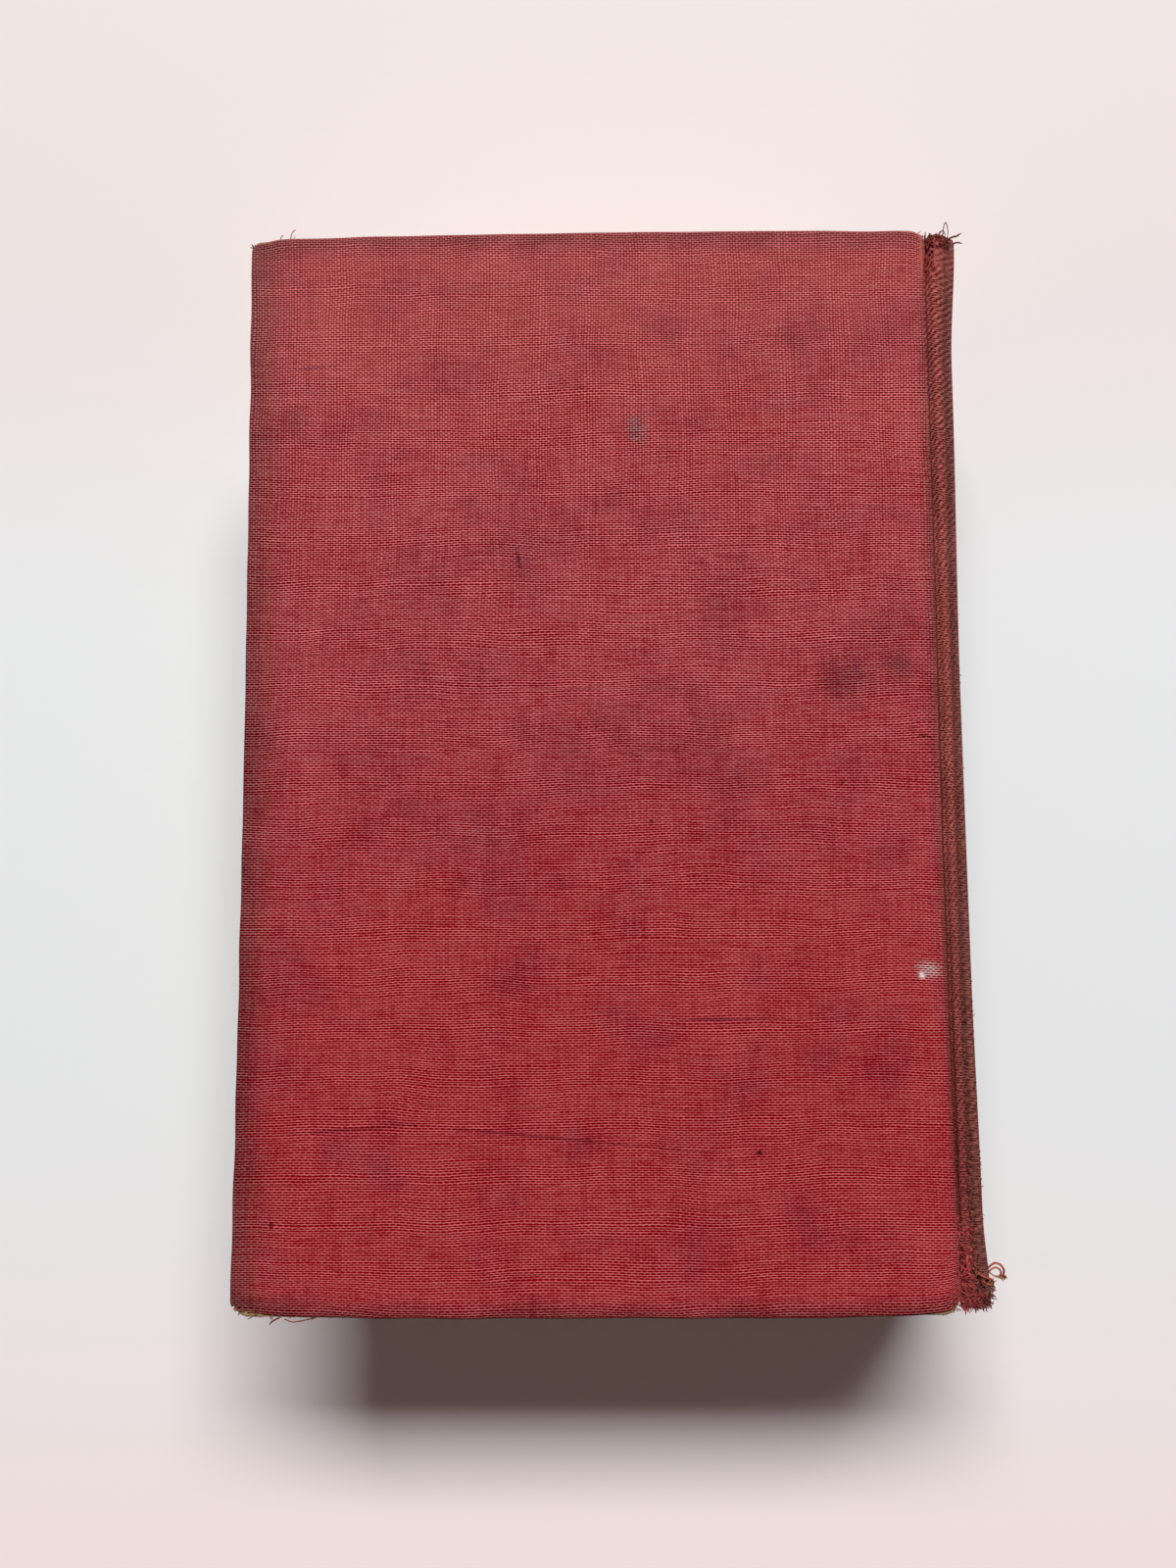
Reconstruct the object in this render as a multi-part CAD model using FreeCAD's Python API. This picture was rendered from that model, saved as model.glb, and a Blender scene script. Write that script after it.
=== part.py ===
import FreeCAD, Part
import math
import os

# A thick cloth-bound hardback book, shut, lying on its front cover with its back cover upwards.
# The spine is on the +X side, the head is on the +Y side, and +Z is up. Sizes are in millimetres.
# The origin is the middle of the book's footprint, on the surface that it lies on.
#
# The pieces are worked out in the book's own section first, where x = 0 is the spine-side edge of
# the boards and z = 0 is the middle plane of the block of pages. Everything on the back cover's
# side is built once, and mirrored for the front cover's side.

Vector = FreeCAD.Vector

# Covers: two boards, wrapped in one piece of cloth
cover_height = 194.0
cover_width = 124.4
board_thickness = 2.5
fore_corner_radius = 3.2
joint_corner_radius = 2.4
edge_rounding = 0.6
cloth_thickness = 0.35
cloth_turn_in = 15.0

# Block of pages
block_thickness = 37.0
head_square = 3.4
fore_square = 3.6
fore_edge_hollow = 4.2
spine_round = 2.5
shoulder_setback = 1.0
shoulder_reach = 2.6
shoulder_rise = 1.3
shoulder_fillet = 1.2

# Endpapers, and the linings of the back
paper_thickness = 0.15
shut_gap = 0.1
glue_film = 0.03
pastedown_margin = 4.0
pastedown_slope = 0.8
mull_thickness = 0.28
mull_flange_width = 26.0
mull_clearance = 0.4
fold_reach = 1.1
lining_thickness = 0.15
lining_end_margin = 4.0

# Sewing: rows of stitches that cross the back in shallow cuts
stitch_rows = 6
stitch_end_margin = 13.0
thread_diameter = 0.5
thread_sides = 6
thread_clearance = 0.04
stitch_side_margin = 2.0

# Spine of the case: a card inlay under the cloth, with a hollow behind it
hollow = 0.7
inlay_thickness = 0.8
inlay_edge_drop = 2.3
spine_turn_in = 12.0
spine_edge_drop = 1.75

# Cloth between board and spine, pressed into a groove, a ridge and a crease beside the spine
joint_end_margin = 2.6
board_lip = 0.4
groove_centre = 1.3
groove_depth = 1.6
ridge_centre = 2.9
ridge_depth = 0.8
crease_setback = 0.85
crease_depth = 1.5
crest_rise = 0.7
lip_radius = 0.42
groove_radius = 0.3
ridge_radius = 0.45
crease_radius = 0.1
crest_radius = 0.42

# Layers outside the block's flat faces, as distances from the face
flyleaf_out = paper_thickness
pastedown_in = flyleaf_out + shut_gap
pastedown_out = pastedown_in + paper_thickness
mull_in = pastedown_out + glue_film
mull_out = mull_in + mull_thickness
board_in = max(pastedown_out + cloth_thickness, mull_out + glue_film)
board_out = board_in + board_thickness
cover_out = board_out + cloth_thickness

half_block = block_thickness / 2
half_thickness = half_block + cover_out
half_page = cover_height / 2 - head_square
half_window = cover_height / 2 - cloth_turn_in
page_fore_x = -cover_width + fore_square

# Rounded back: its layers are arcs about one axis
shoulder_top = half_block + shoulder_rise
block_radius = (shoulder_top**2 + spine_round**2) / (2 * spine_round)
axis_x = shoulder_reach + spine_round - block_radius
back_mull_in = block_radius + glue_film
back_mull_out = back_mull_in + mull_thickness
lining_in = back_mull_out + glue_film
lining_out = lining_in + lining_thickness
inlay_in = lining_out + hollow
inlay_out = inlay_in + inlay_thickness
spine_cloth_in = inlay_out + glue_film
spine_cloth_out = spine_cloth_in + cloth_thickness

block_angle = math.asin(shoulder_top / block_radius)
stitch_angle = block_angle - stitch_side_margin / block_radius
inlay_angle = math.asin((half_thickness - inlay_edge_drop) / inlay_out)
spine_angle = math.asin((half_thickness - spine_edge_drop) / spine_cloth_out)

# How far a cutting block runs past what it cuts
beyond = 1.0


def path_edges(points, radii):
    """Lines and tangent arcs along a path, with one radius for each point between its ends."""
    edges = []
    start = points[0]
    for before, corner, after, radius in zip(points, points[1:], points[2:], radii):
        into = (corner - before).normalize()
        out = (after - corner).normalize()
        half_turn = into.getAngle(out) / 2
        reach = radius * math.tan(half_turn)
        first = corner - into * reach
        second = corner + out * reach
        inward = (out - into).normalize()
        middle = corner + inward * (radius / math.cos(half_turn) - radius)
        edges.append(Part.LineSegment(start, first).toShape())
        edges.append(Part.Arc(first, middle, second).toShape())
        start = second
    edges.append(Part.LineSegment(start, points[-1]).toShape())
    return edges


def offset_path(points, radii, distance):
    """A path in the section moved to its left by a distance, with the radii that keep it parallel."""
    ways = [(b - a).normalize() for a, b in zip(points, points[1:])]
    lefts = [Vector(-way.z, 0, way.x) for way in ways]
    moved = [points[0] + lefts[0] * distance]
    moved_radii = []
    for i, radius in enumerate(radii):
        before, after = lefts[i], lefts[i + 1]
        moved.append(points[i + 1] + (before + after) * (distance / (1 + before.dot(after))))
        turns_left = ways[i + 1].dot(before) > 0
        moved_radii.append(radius - distance if turns_left else radius + distance)
    moved.append(points[-1] + lefts[-1] * distance)
    return moved, moved_radii


def along_spine(edges, length):
    """The solid of a closed section, centred on the middle of the book's height."""
    section = Part.Face(Part.Wire(Part.sortEdges(edges)[0]))
    section.translate(Vector(0, -length / 2, 0))
    return section.extrude(Vector(0, length, 0))


def folded_sheet(points, radii, near, far, length):
    """A sheet that follows a path in section, between two distances on the path's left."""
    near_points, near_radii = offset_path(points, radii, near)
    far_points, far_radii = offset_path(points, radii, far)
    edges = path_edges(near_points, near_radii) + path_edges(far_points, far_radii)
    for end in (0, -1):
        edges.append(Part.LineSegment(near_points[end], far_points[end]).toShape())
    return along_spine(edges, length)


def on_back(radius, angle):
    """A point of the rounded back in section, by its angle above the middle plane."""
    return Vector(axis_x + radius * math.cos(angle), 0, radius * math.sin(angle))


def back_arc(radius, angle):
    """An arc of the rounded back, as far above the middle plane as below it."""
    return Part.Arc(on_back(radius, -angle), on_back(radius, 0), on_back(radius, angle)).toShape()


def back_band(inner, outer, angle, length):
    """A curved band of the rounded back, between two radii."""
    edges = [back_arc(inner, angle), back_arc(outer, angle)]
    for end in (-angle, angle):
        edges.append(Part.LineSegment(on_back(inner, end), on_back(outer, end)).toShape())
    return along_spine(edges, length)


def box(x0, x1, half_height, z0, z1):
    """A plain block, centred on the middle of the book's height."""
    return Part.makeBox(x1 - x0, 2 * half_height, z1 - z0, Vector(x0, -half_height, z0))


def tongue(square_x, round_x, half_height, radius, z0, z1):
    """A plate with two square corners at one end and two rounded corners at the other."""
    places = [(square_x, -1), (round_x, -1), (round_x, 1), (square_x, 1)]
    points = [Vector(x, side * half_height, z0) for x, side in places]
    edges = path_edges(points, [radius, radius])
    edges.append(Part.LineSegment(points[-1], points[0]).toShape())
    return Part.Face(Part.Wire(edges)).extrude(Vector(0, 0, z1 - z0))


def cover_plate(inset, z0, z1):
    """A plate of the cover's outline, set in on its three free sides, with rounded corners and rims."""
    fore_x = -cover_width + inset
    half_height = cover_height / 2 - inset
    blank = tongue(beyond, fore_x, half_height, fore_corner_radius - inset, z0, z1)
    level = [edge for edge in blank.Edges if edge.BoundBox.ZLength < edge.Length / 2]
    rims = [edge for edge in level if edge.CenterOfMass.x < 0]
    rounded = blank.makeFillet(edge_rounding - inset, rims)
    joint_corner = joint_corner_radius - inset
    joint_end = tongue(fore_x - beyond, 0, half_height, joint_corner, z0 - beyond, z1 + beyond)
    return rounded.common(joint_end)


def dish(x0, x1, half_height, z0, z1, slope):
    """A block with four sloping sides, wider by the slope at z1 than at z0."""
    outlines = []
    for z, grow in ((z0, 0), (z1, slope)):
        places = [(x0 - grow, -1), (x1 + grow, -1), (x1 + grow, 1), (x0 - grow, 1), (x0 - grow, -1)]
        points = [Vector(x, side * (half_height + grow), z) for x, side in places]
        outlines.append(Part.makePolygon(points))
    return Part.makeLoft(outlines, True, True)


def shoulder_path(start_x, slope_share):
    """The block's flat face from a given place, turning up the shoulder for a share of its slope."""
    foot = Vector(shoulder_setback, 0, half_block)
    tip = Vector(shoulder_reach, 0, shoulder_top)
    return [Vector(start_x, 0, half_block), foot, foot + (tip - foot) * slope_share]


def fold_path(start_x):
    """The shoulder's path as far as the endpapers and the gauze bend with the cover."""
    slope = math.hypot(shoulder_reach - shoulder_setback, shoulder_rise)
    return shoulder_path(start_x, fold_reach / slope)


def thread_row(y):
    """A thread with flat sides along the curve of the back, just under its surface."""
    radius = block_radius - thread_diameter / 2
    angle = stitch_angle - thread_clearance / radius
    axis = Vector(axis_x, 0, 0)
    centre = Vector(axis_x + radius, y, 0)
    turns = [2 * math.pi * i / thread_sides for i in range(thread_sides + 1)]
    spokes = [Vector(math.cos(turn), math.sin(turn), 0) for turn in turns]
    section = Part.Face(Part.makePolygon([centre + spoke * (thread_diameter / 2) for spoke in spokes]))
    section.rotate(axis, Vector(0, 1, 0), -math.degrees(angle))
    return section.revolve(axis, Vector(0, 1, 0), math.degrees(2 * angle))


def stitch_cut(y):
    """A sawn cut across the back of the pages, for one row of stitches."""
    floor = block_radius - thread_diameter - thread_clearance
    cut = back_band(floor, block_radius + beyond, stitch_angle, thread_diameter + 2 * thread_clearance)
    cut.translate(Vector(0, y, 0))
    return cut


def stitch_places():
    """Where the rows of stitches cross the back, along the book's height."""
    first = -half_page + stitch_end_margin
    step = -2 * first / (stitch_rows - 1)
    return [first + i * step for i in range(stitch_rows)]


def make_pages():
    """The sewn pages: a hollow fore edge, a rounded back with two shoulders, and the stitch cuts."""
    upper = path_edges(shoulder_path(page_fore_x, 1), [shoulder_fillet])
    lower = [edge.mirror(Vector(0, 0, 0), Vector(0, 0, 1)) for edge in upper]
    corner = Vector(page_fore_x, 0, half_block)
    hollow_middle = Vector(page_fore_x + fore_edge_hollow, 0, 0)
    fore_edge = Part.Arc(corner, hollow_middle, Vector(corner.x, 0, -corner.z)).toShape()
    outline = upper + lower + [back_arc(block_radius, block_angle), fore_edge]
    cuts = [stitch_cut(y) for y in stitch_places()]
    return along_spine(outline, 2 * half_page).cut(cuts)


def make_thread():
    """The rows of stitches, lying in their cuts."""
    return Part.makeCompound([thread_row(y) for y in stitch_places()])


def mull_length():
    """The gauze fits between the cloth's turned-in borders at the head and the tail."""
    return 2 * (half_window - mull_clearance)


def make_spine_mull():
    """The gauze across the back of the pages."""
    return back_band(back_mull_in, back_mull_out, block_angle, mull_length())


def make_spine_lining():
    """The paper stuck over the gauze."""
    return back_band(lining_in, lining_out, block_angle, 2 * (half_page - lining_end_margin))


def make_spine_inlay():
    """The card that stiffens the spine of the case."""
    return back_band(inlay_in, inlay_out, inlay_angle, cover_height - 2 * cloth_thickness)


def make_spine_cloth():
    """The cloth over the inlay, folded in over its ends at the head and the tail."""
    room_in = inlay_in - glue_film
    past_edge = spine_angle + beyond / room_in
    blank = back_band(room_in - cloth_thickness, spine_cloth_out, spine_angle, cover_height)
    room = back_band(room_in, spine_cloth_in, past_edge, cover_height - 2 * cloth_thickness)
    between_folds = cover_height - 2 * spine_turn_in
    window = back_band(room_in - cloth_thickness - beyond, spine_cloth_in, past_edge, between_folds)
    return blank.cut([room, window])


def make_board():
    """The binder's board."""
    return cover_plate(cloth_thickness, half_block + board_in, half_block + board_out)


def make_cover_cloth():
    """The cloth over a board: its outer face, three edges and a turned-in border inside."""
    inner_face = half_block + pastedown_out
    blank = cover_plate(0, inner_face, half_thickness)
    window_x = -cover_width + cloth_turn_in
    window = box(window_x, beyond, half_window, inner_face - beyond, half_block + board_in)
    return blank.cut([make_board(), window])


def make_joint_cloth():
    """The cloth that bends as the cover opens: a crest, a crease, a ridge, a groove and a lip."""
    edge = on_back(spine_cloth_out, spine_angle)
    crest = edge + Vector(-math.sin(spine_angle), 0, math.cos(spine_angle)) * crest_rise
    points = [
        edge,
        crest,
        Vector(edge.x - crease_setback, 0, half_thickness - crease_depth),
        Vector(ridge_centre, 0, half_thickness - ridge_depth),
        Vector(groove_centre, 0, half_thickness - groove_depth),
        Vector(board_lip, 0, half_thickness),
        Vector(0, 0, half_thickness),
    ]
    radii = [crest_radius, crease_radius, ridge_radius, groove_radius, lip_radius]
    return folded_sheet(points, radii, 0, cloth_thickness, cover_height - 2 * joint_end_margin)


def make_pastedown():
    """The endpaper leaf on the board, dished where it drops inside the turned-in cloth."""
    face = half_block + pastedown_in
    back = half_block + pastedown_out
    depth = board_in - pastedown_out
    x0 = -cover_width + cloth_turn_in + pastedown_slope
    x1 = -mull_flange_width - pastedown_slope
    half_height = half_window - pastedown_slope
    leaf = box(-cover_width + pastedown_margin, 0, half_page, face, back)
    raised = dish(x0, x1, half_height, back + depth, back, pastedown_slope)
    hollowed = dish(x0, x1, half_height, face + depth, face, pastedown_slope)
    return leaf.fuse(raised).cut(hollowed).removeSplitter()


def make_mull_flange():
    """The gauze on the board, under the pastedown."""
    fore_x = -mull_flange_width + glue_film
    return box(fore_x, 0, mull_length() / 2, half_block + mull_in, half_block + mull_out)


def make_mull_fold():
    """The gauze that bends as the cover opens."""
    return folded_sheet(fold_path(0), [shoulder_fillet], mull_in, mull_out, mull_length())


def make_endpaper_fold():
    """The endpaper that bends as the cover opens."""
    return folded_sheet(fold_path(0), [shoulder_fillet], pastedown_in, pastedown_out, 2 * half_page)


def make_flyleaf():
    """The endpaper's free leaf, on the pages and part of the way up the shoulder."""
    return folded_sheet(fold_path(page_fore_x), [shoulder_fillet], 0, flyleaf_out, 2 * half_page)


nodes = {
    "pages": make_pages(),
    "sewing_thread": make_thread(),
    "spine_mull": make_spine_mull(),
    "spine_lining": make_spine_lining(),
    "spine_inlay": make_spine_inlay(),
    "spine_cloth": make_spine_cloth(),
}
back_side = {
    "board": make_board(),
    "cover_cloth": make_cover_cloth(),
    "joint_cloth": make_joint_cloth(),
    "pastedown": make_pastedown(),
    "endpaper_fold": make_endpaper_fold(),
    "flyleaf": make_flyleaf(),
    "mull_flange": make_mull_flange(),
    "mull_fold": make_mull_fold(),
}
for name, piece in back_side.items():
    nodes["back_" + name] = piece
    nodes["front_" + name] = piece.mirror(Vector(0, 0, 0), Vector(0, 0, 1))

# From the section's place to the middle of the footprint
to_frame = Vector((cover_width - axis_x - spine_cloth_out) / 2, 0, half_thickness)

os.makedirs("parts", exist_ok=True)
for name, piece in nodes.items():
    piece.translate(to_frame)
    piece.exportStep("parts/" + name + ".step")
    print(name, "valid", piece.isValid(), "solids", len(piece.Solids), "volume", round(piece.Volume, 2))
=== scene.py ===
import math
import random

import bpy
import numpy as np
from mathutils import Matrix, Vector


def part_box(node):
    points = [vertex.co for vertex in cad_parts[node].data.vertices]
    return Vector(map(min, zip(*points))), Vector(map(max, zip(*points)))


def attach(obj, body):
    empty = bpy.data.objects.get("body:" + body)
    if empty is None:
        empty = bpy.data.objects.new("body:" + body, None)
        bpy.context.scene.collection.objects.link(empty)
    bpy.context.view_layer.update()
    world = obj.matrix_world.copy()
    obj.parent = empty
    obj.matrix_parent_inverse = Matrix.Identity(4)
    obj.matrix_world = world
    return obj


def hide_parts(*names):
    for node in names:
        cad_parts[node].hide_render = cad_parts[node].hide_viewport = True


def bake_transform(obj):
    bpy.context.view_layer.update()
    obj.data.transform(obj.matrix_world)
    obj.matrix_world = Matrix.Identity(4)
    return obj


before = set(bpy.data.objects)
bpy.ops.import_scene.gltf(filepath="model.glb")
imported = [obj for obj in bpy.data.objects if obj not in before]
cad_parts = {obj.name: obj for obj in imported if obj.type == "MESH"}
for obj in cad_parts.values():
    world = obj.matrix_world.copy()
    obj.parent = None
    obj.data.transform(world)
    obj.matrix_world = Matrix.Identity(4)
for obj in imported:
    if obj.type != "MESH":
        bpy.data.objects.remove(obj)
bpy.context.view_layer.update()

# A worn cloth-bound book, shut, lying on its front cover.
# Pieces are worked out in millimetres from the back board's spine-side edge: x grows towards the
# spine, y towards the head, and depth is measured down from the cover's outer face.

mm = 0.001
sides = ("back", "front")

coverLow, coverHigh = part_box("back_cover_cloth")
boardLow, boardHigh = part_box("back_board")
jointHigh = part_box("back_joint_cloth")[1]
spineLow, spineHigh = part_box("spine_cloth")
pagesLow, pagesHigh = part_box("pages")
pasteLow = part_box("back_pastedown")[0]
flangeLow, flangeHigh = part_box("back_mull_flange")
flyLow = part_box("back_flyleaf")[0]

jointX = boardHigh.x / mm
topZ = coverHigh.z / mm
middleZ = topZ / 2
halfHeight = coverHigh.y / mm
coverWidth = jointX - coverLow.x / mm
spineEdgeX = jointHigh.x / mm - jointX
spineHalf = (spineHigh.z - spineLow.z) / mm / 2
spineReach = spineHigh.x / mm - jointX
spineRadius = (spineHalf ** 2 + (spineReach - spineEdgeX) ** 2) / (2 * (spineReach - spineEdgeX))
print("frame: cover", round(coverWidth, 2), "by", round(2 * halfHeight, 2), "mm")
print("frame: spine radius", round(spineRadius, 2), "mm")


# Places shared by the pieces


def smooth(value, low, high):
    t = np.clip((np.asarray(value, float) - low) / (high - low), 0, 1)
    return t * t * (3 - 2 * t)


warpSizes = {
    "foreEnds": 1.6,      # how far the back cover's corners lift at the fore edge
    "jointEnds": 1.2,     # and beside the spine
    "endPower": 2.2,
    "headSwell": 1.0,     # a slow swell towards the head
    "swellMiddle": -62.0,
    "fadeFrom": 3.5,      # the lift fades down the side of the spine
    "fadeTo": 7.4,
}


def warp(x, y):
    toEnd = np.abs(y) / halfHeight
    across = np.clip(-x / coverWidth, 0, 1)
    ends = warpSizes["jointEnds"] + (warpSizes["foreEnds"] - warpSizes["jointEnds"]) * across
    half = coverWidth / 2
    swell = warpSizes["headSwell"] * (0.5 + 0.5 * y / halfHeight)
    swell = swell * np.clip(1 - ((x - warpSizes["swellMiddle"]) / half) ** 2, 0, 1)
    fade = 1 - smooth(x, warpSizes["fadeFrom"], warpSizes["fadeTo"])
    return (ends * toEnd ** warpSizes["endPower"] + swell) * fade


def toFrame(side, x, y, depth):
    # Arrays of places on one side of the book, as rows of metres in the frame
    x, y, depth = np.broadcast_arrays(np.asarray(x, float), np.asarray(y, float), np.asarray(depth, float))
    z = topZ - depth + warp(x, y) if side == "back" else depth
    return np.stack([(x + jointX) * mm, y * mm, z * mm], axis=-1).reshape(-1, 3)


def addObject(name, data):
    piece = bpy.data.objects.new(name, data)
    bpy.context.scene.collection.objects.link(piece)
    return piece


def smoothShade(mesh, creaseAngle):
    mesh.polygons.foreach_set("use_smooth", [True] * len(mesh.polygons))
    mesh.set_sharp_from_angle(angle=math.radians(creaseAngle))


def makeMesh(name, points, faces, material, side="back", creaseAngle=55):
    # The front of the book is built like the back, and its faces are turned round
    mesh = bpy.data.meshes.new(name)
    order = -1 if side == "front" else 1
    mesh.from_pydata([tuple(p) for p in points], [], [tuple(f)[::order] for f in faces])
    mesh.validate()
    mesh.materials.append(material)
    smoothShade(mesh, creaseAngle)
    return addObject(name, mesh)


def gridFaces(columns, rows, start=0, flip=False):
    faces = []
    for i in range(columns - 1):
        for j in range(rows - 1):
            a = start + i * rows + j
            face = (a, a + rows, a + rows + 1, a + 1)
            faces.append(face[::-1] if flip else face)
    return faces


def plateEdge(columns, rows):
    # The border of a grid, all the way round
    edge = [(i, 0) for i in range(columns - 1)] + [(columns - 1, j) for j in range(rows - 1)]
    edge += [(i, rows - 1) for i in range(columns - 1, 0, -1)] + [(0, j) for j in range(rows - 1, 0, -1)]
    return np.array(edge).T


def easeCorners(x, y, outX, outY, corners):
    # Eases a grid's square corners on to arcs, and turns the ways out of its edge with them
    easedX, easedY = x, y
    for cx, cy, sx, sy, radius in corners:
        u, v = (x - cx) * sx / radius, (y - cy) * sy / radius
        corner = (u > 0) & (v > 0)
        uu = u * np.sqrt(np.clip(1 - v * v / 2, 0, 1))
        vv = v * np.sqrt(np.clip(1 - u * u / 2, 0, 1))
        easedX = np.where(corner, cx + sx * radius * uu, easedX)
        easedY = np.where(corner, cy + sy * radius * vv, easedY)
        outX = np.where(corner, sx * uu, outX)
        outY = np.where(corner, sy * vv, outY)
    return easedX, easedY, outX, outY


def keepPlaces(mesh, name, rows):
    attribute = mesh.attributes.new(name, "FLOAT_VECTOR", "POINT")
    attribute.data.foreach_set("vector", np.asarray(rows, np.float32).ravel())


def acrossJoint(start, end, z=topZ):
    # Two places across the joint, at the given distances from the board's edge and at a height
    return ((jointX + start) * mm, 0, z * mm), ((jointX + end) * mm, 0, z * mm)


def waves(x, y, size, seed, count=7):
    # A soft random field from a few sine waves, about -1 to 1
    rng = random.Random(seed)
    total = np.zeros(np.broadcast(x, y).shape)
    for _ in range(count):
        turn = rng.uniform(0, 2 * math.pi)
        length = size * rng.uniform(0.6, 1.7)
        phase = rng.uniform(0, 2 * math.pi)
        total = total + np.sin((x * math.cos(turn) + y * math.sin(turn)) * 2 * math.pi / length + phase)
    return total / math.sqrt(count)


# Helpers for materials


def paint(r, g, b):
    # A screen colour, 0 to 255, as Blender's linear colour
    def one(v):
        v = v / 255
        return v / 12.92 if v <= 0.04045 else ((v + 0.055) / 1.055) ** 2.4
    return (one(r), one(g), one(b), 1.0)


def startMaterial(name, roughness, specular=0.2):
    material = bpy.data.materials.new(name)
    material.use_nodes = True
    tree = material.node_tree
    tree.nodes.clear()
    shader = tree.nodes.new("ShaderNodeBsdfPrincipled")
    output = tree.nodes.new("ShaderNodeOutputMaterial")
    tree.links.new(shader.outputs["BSDF"], output.inputs["Surface"])
    shader.inputs["Roughness"].default_value = roughness
    shader.inputs["Specular IOR Level"].default_value = specular
    return material, tree, shader


class Signal:
    # One output of a material's nodes: plain sums with it add the nodes that work them out
    def __init__(self, tree, socket):
        self.tree = tree
        self.socket = socket

    def __add__(self, other):
        return calc("ADD", self, other)

    __radd__ = __add__

    def __sub__(self, other):
        return calc("SUBTRACT", self, other)

    def __rsub__(self, other):
        return calc("SUBTRACT", other, self)

    def __mul__(self, other):
        return calc("MULTIPLY", self, other)

    def __truediv__(self, other):
        return calc("DIVIDE", self, other)


def feed(socket, value):
    if isinstance(value, Signal):
        value.tree.links.new(value.socket, socket)
    else:
        socket.default_value = value


def calc(operation, *values):
    tree = next(value.tree for value in values if isinstance(value, Signal))
    node = tree.nodes.new("ShaderNodeMath")
    node.operation = operation
    for socket, value in zip(node.inputs, values):
        feed(socket, value)
    return Signal(tree, node.outputs[0])


def distance(value, place):
    return calc("ABSOLUTE", value - place)


def wave(value):
    # Rises and falls once for each whole number
    return calc("COSINE", value * (2 * math.pi))


def remap(value, low, high, toLow=0.0, toHigh=1.0, straight=False):
    node = value.tree.nodes.new("ShaderNodeMapRange")
    node.interpolation_type = "LINEAR" if straight else "SMOOTHSTEP"
    for name, number in (("From Min", low), ("From Max", high), ("To Min", toLow), ("To Max", toHigh)):
        node.inputs[name].default_value = number
    feed(node.inputs["Value"], value)
    return Signal(value.tree, node.outputs["Result"])


def mixColour(share, first, second, way="MIX"):
    node = share.tree.nodes.new("ShaderNodeMix")
    node.data_type = "RGBA"
    node.blend_type = way
    feed(node.inputs[0], share)
    for socket, colour in ((node.inputs[6], first), (node.inputs[7], second)):
        written = isinstance(colour, tuple) and len(colour) == 3
        feed(socket, paint(*colour) if written else colour)
    return Signal(share.tree, node.outputs[2])


def join(x, y, z=0.0):
    node = x.tree.nodes.new("ShaderNodeCombineXYZ")
    for socket, value in zip(node.inputs, (x, y, z)):
        feed(socket, value)
    return Signal(x.tree, node.outputs[0])


def speckle(vector, scale, detail=2.0, rough=0.55):
    node = vector.tree.nodes.new("ShaderNodeTexNoise")
    feed(node.inputs["Vector"], vector)
    node.inputs["Scale"].default_value = scale
    node.inputs["Detail"].default_value = detail
    node.inputs["Roughness"].default_value = rough
    return Signal(vector.tree, node.outputs["Fac"])


def finishSurface(shader, colour, height, distance, strength=0.8):
    feed(shader.inputs["Base Color"], colour)
    node = height.tree.nodes.new("ShaderNodeBump")
    node.inputs["Strength"].default_value = strength
    node.inputs["Distance"].default_value = distance
    feed(node.inputs["Height"], height)
    feed(shader.inputs["Normal"], Signal(height.tree, node.outputs["Normal"]))


def vectorCalc(vector, operation, values):
    node = vector.tree.nodes.new("ShaderNodeVectorMath")
    node.operation = operation
    feed(node.inputs[0], vector)
    node.inputs["Scale" if operation == "SCALE" else 1].default_value = values
    return Signal(vector.tree, node.outputs[0])


def moved(place, shift):
    # The same place for another pattern, so that no two patterns are alike
    return vectorCalc(place, "ADD", (shift, shift * 0.7, 0.0))


def parts(vector):
    split = vector.tree.nodes.new("ShaderNodeSeparateXYZ")
    feed(split.inputs[0], vector)
    return [Signal(vector.tree, output) for output in split.outputs]


def keptPlace(tree, name):
    # The place on the flat cloth or sheet, in millimetres, kept in the mesh
    node = tree.nodes.new("ShaderNodeAttribute")
    node.attribute_name = name
    return Signal(tree, node.outputs["Vector"])


def objectPlace(tree):
    # The place in the frame, in millimetres
    node = tree.nodes.new("ShaderNodeTexCoord")
    return vectorCalc(Signal(tree, node.outputs["Object"]), "SCALE", 1 / mm)


# The book cloth

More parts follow.
